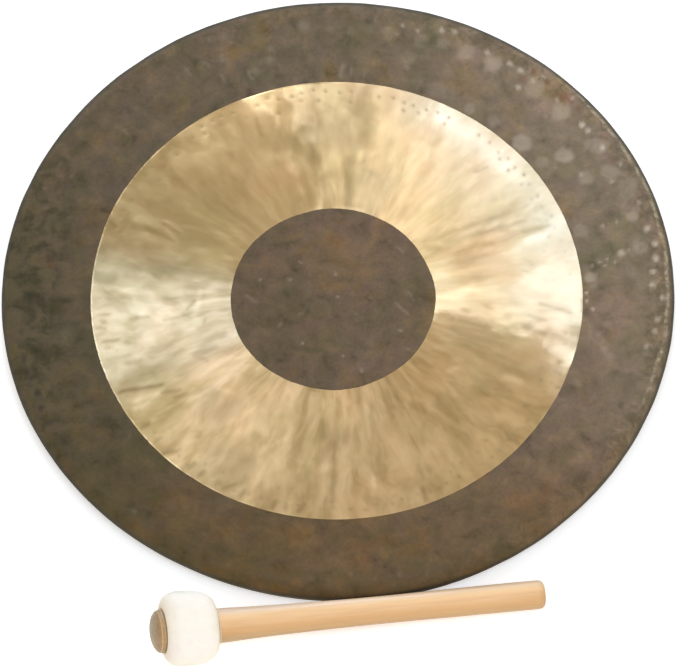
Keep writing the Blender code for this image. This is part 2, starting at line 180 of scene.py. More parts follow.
# The scraper's more marked strokes and stains on the bright ring: (angle, distance)
# to (angle, distance), width in mm, tone from -1 for dark to 1 for pale
STROKES = [
    (207, 145, 210.2, 121, 3, -1), (210.9, 140, 211.9, 126, 3.6, 0.88), (212.5, 143, 212.8, 134, 3.6, 0.75), (212.5, 124, 214.4, 114, 2.4, -0.62),
    (217.8, 139, 218.1, 135, 3.6, 0.75), (216.6, 134, 217.5, 119, 3.6, 0.62), (217.5, 119, 219.7, 108, 3.6, 0.62),
    (219.7, 108, 220.9, 88, 3.6, 0.62), (215.6, 119, 216.9, 112, 2.4, -0.56), (205.6, 94, 206.3, 81, 4.2, -0.69), (205.6, 94, 210, 90, 3.6, -0.5),
    (183.1, 86, 186.3, 90, 2.4, -0.75), (188.4, 93, 189, 90, 2.4, -0.62), (187.5, 124, 187.8, 114, 2.6, -0.62),
    (187.4, 141.5, 187.7, 140, 2.9, -0.75), (185.3, 143, 185.6, 137, 2.4, -0.62), (189, 145, 189.2, 141, 2.4, -0.62),
    (192.9, 143, 193, 134, 2.4, -0.75), (194.7, 142.5, 194.8, 141, 2.9, -0.62), (194.6, 130, 194.9, 128, 3.1, -0.69),
    (200.3, 134, 200.6, 125, 2.4, -0.56), (192.2, 81, 193.4, 82, 2.4, -0.56), (184.7, 143, 185, 119, 6, 0.56), (181.3, 121, 186.9, 118, 3.6, 0.56),
    (183.1, 110, 184.4, 101, 4.8, 0.62), (188.8, 108, 189, 99, 6, 0.56), (178, 82, 190, 86.5, 3.6, 0.56), (177, 75, 188, 74, 7.2, 0.5),
    (168.8, 137, 169, 119, 4.8, 0.5), (173.4, 143, 173.4, 118, 4.8, 0.5), (173.8, 85, 175.2, 80, 3.1, 0.62), (217.6, 146.5, 217.8, 142, 2.6, -0.69),
    (222.5, 147, 222.5, 144, 2.6, -0.62), (226, 148, 227.8, 142, 2.6, -0.69), (232.8, 147, 233.3, 142, 2.6, -0.62),
    (236, 147.5, 236.2, 143, 2.6, -0.69), (240.6, 147, 240.7, 144, 2.6, -0.56), (242.8, 146.5, 244.4, 141.5, 2.6, -0.62),
    (247, 147.5, 247.2, 143, 2.6, -0.62), (255, 148, 255.2, 144, 2.6, -0.62), (257.6, 148, 257.7, 145, 2.6, -0.56),
    (261, 147.5, 262, 142, 2.9, -0.75), (221.9, 95.5, 226.9, 91, 3.1, 0.5), (248.8, 79, 245, 70, 4.8, 0.5), (265, 96, 264.4, 81, 7.2, -0.56),
    (268.3, 101, 268.8, 81, 9.6, -0.5), (272.5, 99, 272.5, 92, 7.2, -0.5), (268.8, 143, 269, 103, 3.6, -0.56), (279, 136, 279.8, 124, 2.6, 0.56),
    (290.7, 148, 291.3, 139, 2.4, -0.69), (292.3, 134, 293, 124, 2.6, -0.5), (323, 110, 325.7, 99, 7.2, -0.38), (331.2, 123, 331, 115, 5.4, 1),
    (325, 86.5, 322.3, 83.5, 3.8, 0.62), (334.3, 122, 335.7, 94, 9.6, -0.38), (339, 94, 340.3, 74, 12, -0.38), (345.5, 90, 346.5, 72, 6, -0.5),
    (333.7, 142.5, 343, 134, 8.4, 0.62), (334.3, 146, 334.3, 145, 2.4, -0.62), (337.7, 143, 337.8, 142, 2.4, -0.62),
    (341, 141.5, 341.1, 140.5, 2.9, -0.75), (347.7, 126, 348.3, 119, 3.6, -0.62), (348.7, 117, 348.8, 114, 4.8, -0.88),
    (347.7, 109, 347.8, 106, 4.3, -0.69), (351.3, 103.5, 351.4, 101.5, 3.6, -0.56), (354.2, 91, 354.5, 89, 5.3, -0.56),
    (351.2, 78, 351.5, 76, 4.3, -0.62), (347.7, 81, 349, 68, 3.6, -0.5), (352, 125, 353, 115, 2.6, -0.5), (355, 139, 357, 121, 2.9, -0.62),
    (9, 84.5, 19, 81, 14.4, -0.44), (20.3, 77, 22.3, 85, 7.2, -0.38), (17.7, 130, 17.3, 119, 5.4, 1), (23.7, 131, 23.4, 126, 6.6, 1),
    (20.3, 134, 20.7, 119, 3.1, -0.5), (27.3, 67, 29.5, 63.5, 6, -0.62), (43.9, 124, 45.4, 117, 2.6, -0.56), (36, 133, 49, 134, 10.8, 0.62),
    (49, 134, 62, 134, 10.8, 0.62), (96.4, 119, 98.2, 101, 3.1, 0.5), (98.6, 101, 99.6, 86, 4.8, -0.56), (103.6, 110, 105, 99, 7.2, -0.44),
    (98.9, 85, 100, 75, 3.6, -0.56), (97.1, 82.5, 97.5, 81, 2.6, 0.75), (106.8, 90, 106.4, 86, 5.4, 0.88), (109.3, 134, 107.9, 128, 3.1, 0.56),
    (112.1, 128, 112.9, 117, 2.6, -0.5), (154.3, 114, 155.4, 103, 2.6, 0.62), (155.4, 114, 156.4, 103, 2.4, -0.5),
    (157.1, 110, 159.6, 102, 2.6, 0.75), (157.5, 130, 160, 121, 3.6, 0.5), (160, 144, 160.7, 140, 2.6, -0.62), (33.8, 63, 31.6, 80, 4.2, -0.5),
    (31.6, 80, 30, 98, 4, -0.55), (30, 98, 28.6, 112, 3.8, -0.5), (28.6, 112, 27.6, 127, 3.6, -0.4), (29.4, 72, 27.2, 84, 4, -0.4),
    (27.2, 84, 25.8, 95, 4, -0.5), (25.8, 95, 24.6, 112, 3.6, -0.45), (24.6, 112, 23.2, 130, 3.2, -0.4), (32.4, 86, 29.8, 110, 3.6, 0.45),
    (26.6, 100, 25.2, 121, 3.4, 0.55), (22, 84, 20.4, 98, 4.5, -0.35),
]


def random_marks():
    """Fainter marks of the same kinds all over the band and the middle."""
    flats, dots = [], []
    for _ in range(110):
        a, r = rng.uniform(-180, 180), rng.uniform(151, 188)
        side = math.exp(-(((a - 42) / 52) ** 2))
        if rng.random() < 0.15 + 0.60 * side:
            flats.append((a, r, rng.uniform(6, 12), rng.uniform(0.03, 0.09) + 0.12 * side * rng.random()))
    for _ in range(150):
        a = rng.uniform(-180, 180)
        side = math.exp(-(((a - 35) / 55) ** 2))
        if rng.random() < 0.08 + 0.55 * side:
            dots.append((a, rng.normal(188.5, 1.6), rng.uniform(2.0, 3.0), rng.uniform(0.06, 0.14) + 0.25 * side * rng.random()))
    for _ in range(60):
        a = rng.uniform(-180, 180)
        side = math.exp(-(((a - 25) / 60) ** 2))
        if rng.random() < 0.1 + 0.7 * side:
            dots.append((a, rng.uniform(152, 184), rng.uniform(1.8, 2.8), rng.uniform(0.04, 0.12) + 0.18 * side * rng.random()))
    for _ in range(22):
        flats.append((rng.uniform(-180, 180), 56 * math.sqrt(rng.random()), rng.uniform(5, 9), rng.uniform(0.03, 0.1)))
    for _ in range(14):
        dots.append((rng.uniform(-180, 180), 56 * math.sqrt(rng.random()), rng.uniform(1.5, 2.2), rng.uniform(0.10, 0.35)))
    return flats, dots


def stamp(x, y, marks, soft):
    """0 to 1: how much of a round mark of the list lies on each point."""
    out = np.zeros_like(x)
    for a, dist, size, strength in marks:
        a, dist, rad = math.radians(a), dist / 1000, size / 2000
        dx, dy = x - dist * math.cos(a), y - dist * math.sin(a)
        near = (np.abs(dx) < 2.2 * rad) & (np.abs(dy) < 2.2 * rad)
        if not near.any():
            continue
        dx, dy = dx[near], dy[near]
        wob = 1 + 0.20 * noise3(dx / rad * 0.9, dy / rad * 0.9, dist * 900, 61) + 0.12 * noise3(dx / rad * 2.3, dy / rad * 2.3, dist * 700, 62)
        d = np.hypot(dx, dy) / rad * wob
        out[near] = np.maximum(out[near], strength * (1 - smoothstep(1 - soft, 1 + soft, d)))
    return out


def stamp_lines(x, y, marks):
    out = np.zeros_like(x)
    for a, dist, length, width, turn, strength in marks:
        a, dist = math.radians(a), dist / 1000
        cx, cy = dist * math.cos(a), dist * math.sin(a)
        t = a + math.radians(turn)
        dx, dy = x - cx, y - cy
        near = np.hypot(dx, dy) < length / 1000
        if not near.any():
            continue
        u = dx[near] * math.cos(t) + dy[near] * math.sin(t)
        v = -dx[near] * math.sin(t) + dy[near] * math.cos(t) + 0.0004 * np.sin(u * 350 + dist * 5000)
        f = (1 - smoothstep(0.35, 0.55, np.abs(u) / (length / 1000))) * np.exp(-((v / (width / 1700)) ** 2))
        out[near] = np.maximum(out[near], strength * f)
    return out


def stamp_strokes(x, y):
    """Pale and dark amounts of the marked strokes at each point."""
    pale, dark = np.zeros_like(x), np.zeros_like(x)
    bend = 0.0005 * noise3(x / 0.006, y / 0.006, 1, 81)
    for a0, r0, a1, r1, width, tone in STROKES:
        a0, a1 = math.radians(a0), math.radians(a1)
        px, py = r0 / 1000 * math.cos(a0), r0 / 1000 * math.sin(a0)
        qx, qy = r1 / 1000 * math.cos(a1), r1 / 1000 * math.sin(a1)
        w = width / 1000
        near = (x > min(px, qx) - 1.5 * w) & (x < max(px, qx) + 1.5 * w) & (y > min(py, qy) - 1.5 * w) & (y < max(py, qy) + 1.5 * w)
        if not near.any():
            continue
        length = max(math.hypot(qx - px, qy - py), 1e-6)
        ux, uy = (qx - px) / length, (qy - py) / length
        u = (x[near] - px) * ux + (y[near] - py) * uy
        v = -(x[near] - px) * uy + (y[near] - py) * ux + bend[near]
        over = np.maximum(np.maximum(-u, u - length), 0)
        thin = 0.60 * w * (0.75 + 0.25 * np.sin(np.clip(u / length, 0, 1) * math.pi))
        f = abs(tone) * np.exp(-((v / thin) ** 2) - (over / (0.55 * w)) ** 2)
        side = pale if tone > 0 else dark
        side[near] = np.maximum(side[near], f)
    return pale, dark


def ring_dots():
    """The rows of punch marks inside the bright ring's outer edge, in gong coordinates."""
    out = []
    for base, gap, keep, spread in ((0.0072, 0.0072, 0.90, 0.0008), (0.0128, 0.0105, 0.45, 0.0014), (0.0185, 0.013, 0.16, 0.002)):
        a = 0.0
        while a < math.tau:
            a += gap / 0.138 * rng.uniform(0.8, 1.25)
            if rng.random() > keep:
                continue
            inset = base + rng.normal(0, spread) - 0.002 * math.exp(-(((a - math.pi) / 1.3) ** 2))
            r = float(ring_edge(np.array([a]))[0]) - max(inset, 0.0028)
            out.append((r * math.cos(a), r * math.sin(a), rng.uniform(0.55, 1.0)))
    return out


def edge_fall(theta):
    """How much the ring's outer part drops towards its edge; below zero it rises."""
    return (0.75 * near_angle(theta, 75, 40) + 0.45 * near_angle(theta, 112, 35) + 0.5 * near_angle(theta, 222, 45)
            - 0.6 * near_angle(theta, 30, 22) - 0.95 * near_angle(theta, -20, 20) - 0.25 * near_angle(theta, 160, 25))


def gold_relief(x, y, r, theta):
    """Height of the scraped surface: wavy tool strokes along the radius over a hammered ground."""
    warp = 0.07 * noise3(x / 0.045, y / 0.045, 7, 4) + 0.012 * noise3(x / 0.015, y / 0.015, 3, 14)
    t = theta + warp
    u = r + 0.008 * noise3(x / 0.022, y / 0.022, 5, 15)
    cx, cy = np.cos(t), np.sin(t)
    # round and oval dabs of the hammer
    h = 0.00006 * noise3(x / 0.0125, y / 0.0125, 2, 17) + 0.00002 * noise3(x / 0.0068, y / 0.0068, 6, 18)
    # strokes of the scraper
    h = h + 0.00009 * noise3(9 * cx, 9 * cy, u / 0.022, 5)
    h = h + 0.00003 * noise3(19 * cx, 19 * cy, u / 0.015, 6)
    # sharper creases between strokes, in places
    crease = 1 - np.abs(noise3(8 * cx, 8 * cy, u / 0.020, 9))
    where = smoothstep(-0.1, 0.5, noise3(x / 0.030, y / 0.030, 1, 16))
    sides = smoothstep(0.25, 0.8, np.abs(np.cos(theta)))
    h = h - 0.00003 * sides * where * smoothstep(0.84, 1.0, crease)
    # worked harder along the front and left, more evenly at the back left
    front = 1 - smoothstep(66, 100, np.abs((np.degrees(theta) + 112 + 180) % 360 - 180))
    return h * (1 + 0.9 * front - 0.3 * near_angle(theta, 138, 42))


def build_gong():
    parts, faces, mats, rings = [], [], [], []
    count = [0]

    def add(r, theta, z):
        r, theta, z = np.broadcast_arrays(r, theta, z)
        parts.append(np.stack([r * np.cos(theta), r * np.sin(theta), z], 1))
        start = count[0]
        count[0] += len(r)
        rings.append((len(r), start))

    def bridge(mat):
        (n0, a), (n1, b) = rings[-2], rings[-1]
        if n0 == n1:
            for i in range(n0):
                j = (i + 1) % n0
                faces.append((a + i, b + i, b + j, a + j))
            mats.extend([mat] * n0)
        elif n1 == 2 * n0:
            for i in range(n0):
                j = (i + 1) % n0
                p, q, s = b + 2 * i, b + 2 * i + 1, b + (2 * i + 2) % n1
                faces.extend(((a + i, p, q), (a + i, q, a + j), (a + j, q, s)))
            mats.extend([mat] * (3 * n0))
        elif n0 == 2 * n1:
            for i in range(n1):
                j = (i + 1) % n1
                p, q, s = a + 2 * i, a + 2 * i + 1, a + (2 * i + 2) % n0
                faces.extend(((p, b + i, q), (q, b + i, b + j), (q, b + j, s)))
            mats.extend([mat] * (3 * n1))
        else:
            raise ValueError("ring counts don't match")

    def circle(n):
        return np.arange(n) * math.tau / n

    shoulder_r = GONG_R - SHOULDER
    parts.append(np.array([[0.0, 0.0, face_z(0.0)]]))
    count[0] = 1
    # middle disc
    na = 40
    for k in range(1, na + 1):
        f = k / na
        n = 90 if f < 0.18 else 180 if f < 0.62 else 360
        t = circle(n)
        rr = disc_edge(t) * f
        add(rr, t, face_z(rr))
        if k == 1:
            for i in range(n):
                faces.append((0, rings[0][1] + i, rings[0][1] + (i + 1) % n))
            mats.extend([0] * n)
        else:
            bridge(0)
    # bright ring; the last steps are finer, for its rolled edge
    steps = list(np.linspace(0, 1, 67)[1:-1]) + [0.9905, 1.0]
    for f in steps:
        t = circle(360 if f < 0.40 else 720)
        rr = disc_edge(t) * (1 - f) + ring_edge(t) * f
        add(rr, t, face_z(rr))
        bridge(1)
    gold_end = count[0]
    # dark band
    t = circle(720)
    for f in [0.016] + list(np.linspace(0, 1, 37)[1:]):
        rr = ring_edge(t) * (1 - f) + shoulder_r * f
        add(rr, t, face_z(rr))
        bridge(0)
    front_end = count[0]
    # shoulder, rim, lip
    cz = FACE_Z - SHOULDER
    lean = math.degrees(SLOPE)
    for k in range(1, 13):
        a = math.radians(90 - (90 + lean) * k / 12)
        add(shoulder_r + SHOULDER * math.cos(a), circle(720 if k < 6 else 360), cz + SHOULDER * math.sin(a))
        bridge(0)
    drop_r = shoulder_r + SHOULDER * math.cos(SLOPE)
    drop_z = cz - SHOULDER * math.sin(SLOPE)
    t = circle(360)
    for k in range(1, 7):
        z = drop_z + (0.0004 - drop_z) * k / 6
        add(drop_r - (drop_z - z) * math.tan(SLOPE), t, z)
        bridge(0)
    lip_r = drop_r - drop_z * math.tan(SLOPE)
    lip_w = SHEET / math.cos(SLOPE)
    add(lip_r - 0.0003, t, 0.0)
    bridge(0)
    add(lip_r - lip_w + 0.0003, t, 0.0)
    bridge(0)
    outer_end = count[0]
    inner_dr = shoulder_r + (SHOULDER - SHEET) * math.cos(SLOPE)
    inner_dz = cz - (SHOULDER - SHEET) * math.sin(SLOPE)
    for k in range(0, 5):
        z = 0.0004 + (inner_dz - 0.0004) * k / 4
        add(inner_dr - (inner_dz - z) * math.tan(SLOPE), t, z)
        bridge(0)
    for k in range(1, 7):
        a = math.radians(-lean + (90 + lean) * k / 6)
        add(shoulder_r + (SHOULDER - SHEET) * math.cos(a), t, cz + (SHOULDER - SHEET) * math.sin(a))
        bridge(0)
    nf = 30
    for k in range(1, nf):
        f = 1 - k / nf
        n = 360 if f > 0.55 else 180 if f > 0.25 else 90
        add(shoulder_r * f, circle(n), face_z(shoulder_r * f) - SHEET)
        bridge(0)
    last = count[0]
    parts.append(np.array([[0.0, 0.0, face_z(0.0) - SHEET]]))
    n, a = rings[-1]
    for i in range(n):
        faces.append((a + i, last, a + (i + 1) % n))
    mats.extend([0] * n)

    co = np.concatenate(parts)
    total = len(co)
    index = np.arange(total)
    r, theta = np.hypot(co[:, 0], co[:, 1]), np.arctan2(co[:, 1], co[:, 0])
    push = outline(theta) * smoothstep(0.150, 0.185, r)
    co[:, 0] += push * np.cos(theta)
    co[:, 1] += push * np.sin(theta)
    light, dark, rust, pit = (np.zeros(total) for _ in range(4))

    f = index < front_end
    x, y, rf, tf = co[f, 0], co[f, 1], r[f], theta[f]
    e1, e2 = disc_edge(tf), ring_edge(tf)
    ring = smoothstep(e1 - 0.0001, e1 + 0.0006, rf) * (1 - smoothstep(e2 - 0.0007, e2 + 0.0001, rf))
    h = 0.00030 * noise3(x / 0.070, y / 0.070, 0, 1) + 0.00012 * noise3(x / 0.028, y / 0.028, 2, 2)
    h = h + (1 - ring) * (0.00005 * noise3(x / 0.011, y / 0.011, 4, 3) + 0.000018 * noise3(x / 0.0042, y / 0.0042, 4, 13))
    h = h + ring * gold_relief(x, y, rf, tf)
    # the ring's outer part falls away a little before its edge
    fall = np.clip((rf - (e2 - 0.030)) / 0.030, 0, 1) ** 2
    h = h - 0.00085 * edge_fall(tf) * fall * (1 - smoothstep(e2, e2 + 0.042, rf))
    # its rolled edge
    h = h - 0.00006 * (0.04 + 0.96 * near_angle(tf, 175, 60)) * (1 - ring) * (rf > 0.1)
    flats, dots = random_marks()
    fl = 0.6 * stamp(x, y, FLATS + flats, 0.45) + 0.4 * stamp(x, y, FLATS + flats, 0.2)
    dt = stamp(x, y, DOTS + dots, 0.60)
    dd = stamp(x, y, DARK_DOTS, 0.55)
    sc = np.maximum(stamp_lines(x, y, SCRATCHES), 0.8 * stamp(x, y, BLOOMS, 0.8))
    oxide_only = 1 - ring
    h = h - oxide_only * (0.00016 * fl + 0.00014 * dt + 0.00022 * dd + 0.00004 * sc)
    pale, deep = stamp_strokes(x, y)
    h = h + ring * (0.00003 * pale - 0.00005 * deep)
    work_and_shade = np.zeros((total, 4))
    work_and_shade[f, 0], work_and_shade[f, 1], work_and_shade[f, 3] = pale, deep, np.clip((e2 - rf) / 0.004, 0, 1)
    # pale marks: hammer flats and scratches are burnished paler; the punch dots are partly a painted highlight where
    # their dimples catch the light
    light[f] = oxide_only * np.clip(0.40 * fl + 0.95 * dt * (1 - 0.3 * fl) + 0.5 * sc, 0, 1.2)
    dark[f] = oxide_only * dd
    rust[f] = stamp(x, y, RUST, 0.5) * (0.55 + 0.45 * noise3(x / 0.0032, y / 0.0032, 1, 71))
    # punch marks, each on the nearest point of the mesh
    gold_points = np.nonzero(index < gold_end)[0]
    gx, gy = co[gold_points, 0], co[gold_points, 1]
    for px, py, strength in ring_dots():
        near = gold_points[(np.abs(gx - px) < 0.003) & (np.abs(gy - py) < 0.003)]
        if not len(near):
            continue
        d = np.hypot(co[near, 0] - px, co[near, 1] - py)
        c = near[np.argmin(d)]
        d = np.hypot(co[near, 0] - co[c, 0], co[near, 1] - co[c, 1])
        g = np.exp(-((d / 0.00095) ** 2))
        h[near] -= 0.00012 * strength * g
        pit[near] = np.maximum(pit[near], strength * np.exp(-((d / 0.0011) ** 2)))
    fade = 1 - smoothstep(0.1895, 0.1928, rf)
    co[f, 2] += h * fade - 0.00012 * (1 - fade)
    # the rim and the back carry softer hammer marks
    g = (index >= front_end) & (index < outer_end)
    ang = theta[g]
    amp = smoothstep(0.0005, 0.004, co[g, 2]) * (1 - smoothstep(0.0205, 0.0222, co[g, 2]))
    shift = amp * (0.00020 * noise3(15 * np.cos(ang), 15 * np.sin(ang), co[g, 2] / 0.009, 21) - 0.00012)
    co[g, 0] += shift * np.cos(ang)
    co[g, 1] += shift * np.sin(ang)
    upper = g & (co[:, 2] > 0.015)
    # painted shade: the outer part of the shoulder is marked for darkening, more of it at the back than at the front
    turned = np.degrees(np.arctan2(co[g, 2] - cz, r[g] - shoulder_r))
    limit = 41 + 27 * np.sin(theta[g])
    work_and_shade[g, 2] = 1 - smoothstep(limit - 14, limit + 9, turned)
    # pale punch dots on the shoulder, partly a painted highlight where they catch the light
    light[upper] = 0.6 * stamp(co[upper, 0], co[upper, 1], DOTS, 0.60)
    dark[upper] = stamp(co[upper, 0], co[upper, 1], DARK_DOTS, 0.55)
    back = (index >= outer_end) & (r < shoulder_r)
    bx, by = co[back, 0], co[back, 1]
    hb = 0.00020 * noise3(bx / 0.030, by / 0.030, 9, 22) + 0.00008 * noise3(bx / 0.013, by / 0.013, 9, 24)
    co[back, 2] -= hb * (1 - smoothstep(0.18, 0.19, r[back]))
    co[:, 1] += GONG_Y

    mesh = bpy.data.meshes.new("gong_hammered")
    mesh.from_pydata(co.tolist(), [], faces)
    mesh.polygons.foreach_set("material_index", np.array(mats, np.int32))
    mesh.materials.append(oxide)
    mesh.materials.append(gold)
    attr = mesh.attributes.new("wear_and_glint", "FLOAT_COLOR", "POINT")
    attr.data.foreach_set("color", np.stack([light, dark, np.clip(rust, 0, 1), pit], 1).astype(np.float32).ravel())
    attr = mesh.attributes.new("work_and_shade", "FLOAT_COLOR", "POINT")
    attr.data.foreach_set("color", work_and_shade.astype(np.float32).ravel())
    attr = mesh.attributes.new("span", "FLOAT", "POINT")
    attr.data.foreach_set("value", (r + np.where(index >= outer_end, -1.0, 0.0)).astype(np.float32))
    obj = bpy.data.objects.new("gong_hammered", mesh)
    bpy.context.scene.collection.objects.link(obj)
    mesh.update()
    # cord holes
    cutters = []
    for side in (-1, 1):
        a = side * HOLE_SPREAD
        out = Vector((math.sin(a), math.cos(a), 0))
        axis = (out * math.cos(SLOPE) - Vector((0, 0, 1)) * math.sin(SLOPE)).normalized()
        rim_r = shoulder_r + (SHOULDER - SHEET / 2) * math.cos(SLOPE)
        top_z = cz - (SHOULDER - SHEET / 2) * math.sin(SLOPE)
        rim_r -= (top_z - HOLE_Z) * math.tan(SLOPE)
        m = bpy.data.meshes.new("cut")
        bm = bmesh.new()
        bmesh.ops.create_cone(bm, cap_ends=True, segments=48, radius1=HOLE_D / 2, radius2=HOLE_D / 2, depth=0.012)
        bm.to_mesh(m)
        bm.free()
        for attr_name in ("wear_and_glint", "work_and_shade"):
            blank = m.attributes.new(attr_name, "FLOAT_COLOR", "POINT")
            blank.data.foreach_set("color", np.zeros(len(m.vertices) * 4, np.float32))
        c = bpy.data.objects.new("cut", m)
        bpy.context.scene.collection.objects.link(c)
        place_at = Matrix.Translation(Vector((0, GONG_Y, HOLE_Z)) + out * rim_r)
        c.matrix_world = place_at @ Vector((0, 0, 1)).rotation_difference(axis).to_matrix().to_4x4()
        mod = obj.modifiers.new("hole", "BOOLEAN")
        mod.operation = "DIFFERENCE"
        mod.solver = "EXACT"
        mod.object = c
        cutters.append(c)
    bpy.context.view_layer.update()
    done = bpy.data.meshes.new_from_object(obj.evaluated_get(bpy.context.evaluated_depsgraph_get()))
    obj.modifiers.clear()
    obj.data = done
    done.name = "gong_hammered_mesh"
    for c in cutters:
        bpy.data.objects.remove(c)
    done.shade_smooth()
    return obj


# --------------------------------------------------------------- materials
def new_material(name):
    mat = bpy.data.materials.new(name)
    mat.use_nodes = True
    nt = mat.node_tree
    return mat, nt, nt.nodes["Principled BSDF"]


def ramp(nt, source, stops):
    n = nt.nodes.new("ShaderNodeValToRGB")
    e = n.color_ramp.elements
    while len(e) < len(stops):
        e.new(0.5)
    for s, (pos, col) in zip(e, stops):
        s.position = pos
        s.color = (*col, 1) if len(col) == 3 else col
    nt.links.new(source, n.inputs["Fac"])
    return n


def noise_tex(nt, vector, scale, detail=3.0, rough=0.55, distortion=0.0):
    n = nt.nodes.new("ShaderNodeTexNoise")
    n.inputs["Scale"].default_value = scale
    n.inputs["Detail"].default_value = detail
    n.inputs["Roughness"].default_value = rough
    n.inputs["Distortion"].default_value = distortion
    if vector is not None:
        nt.links.new(vector, n.inputs["Vector"])
    return n


def mix_colour(nt, fac, a, b, blend="MIX"):
    n = nt.nodes.new("ShaderNodeMix")
    n.data_type = "RGBA"
    n.blend_type = blend
    for socket, value in (("Factor", fac), ("A", a), ("B", b)):
        s = [i for i in n.inputs if i.name == socket and (i.type == ("VALUE" if socket == "Factor" else "RGBA"))][0]
        if isinstance(value, (int, float)):
            s.default_value = value
        elif isinstance(value, tuple):
            s.default_value = (*value, 1) if len(value) == 3 else value
        else:
            nt.links.new(value, s)
    return [o for o in n.outputs if o.type == "RGBA"][0]


def math_node(nt, op, a, b=None, c=None, clamp=False):
    n = nt.nodes.new("ShaderNodeMath")
    n.operation = op
    n.use_clamp = clamp
    for i, v in enumerate((a, b, c)):
        if v is None:
            continue
        if isinstance(v, (int, float)):
            n.inputs[i].default_value = v
        else:
            nt.links.new(v, n.inputs[i])
    return n.outputs[0]


def map_range(nt, v, a, b, c, d, smooth=False):
    n = nt.nodes.new("ShaderNodeMapRange")
    if smooth:
        n.interpolation_type = "SMOOTHSTEP"
    nt.links.new(v, n.inputs["Value"])
    for name, value in (("From Min", a), ("From Max", b), ("To Min", c), ("To Max", d)):
        n.inputs[name].default_value = value
    return n.outputs["Result"]


def polar(nt, centre=(0.0, 0.0)):
    """(object position, radius, angle) about a point on the gong's face."""
    tex = nt.nodes.new("ShaderNodeTexCoord")
    sep = nt.nodes.new("ShaderNodeSeparateXYZ")
    nt.links.new(tex.outputs["Object"], sep.inputs[0])
    x = math_node(nt, "SUBTRACT", sep.outputs["X"], centre[0])
    y = math_node(nt, "SUBTRACT", sep.outputs["Y"], centre[1] + GONG_Y)
    r = math_node(nt, "SQRT", math_node(nt, "ADD", math_node(nt, "MULTIPLY", x, x), math_node(nt, "MULTIPLY", y, y)))
    a = math_node(nt, "ARCTAN2", y, x)
    return tex.outputs["Object"], x, y, r, a


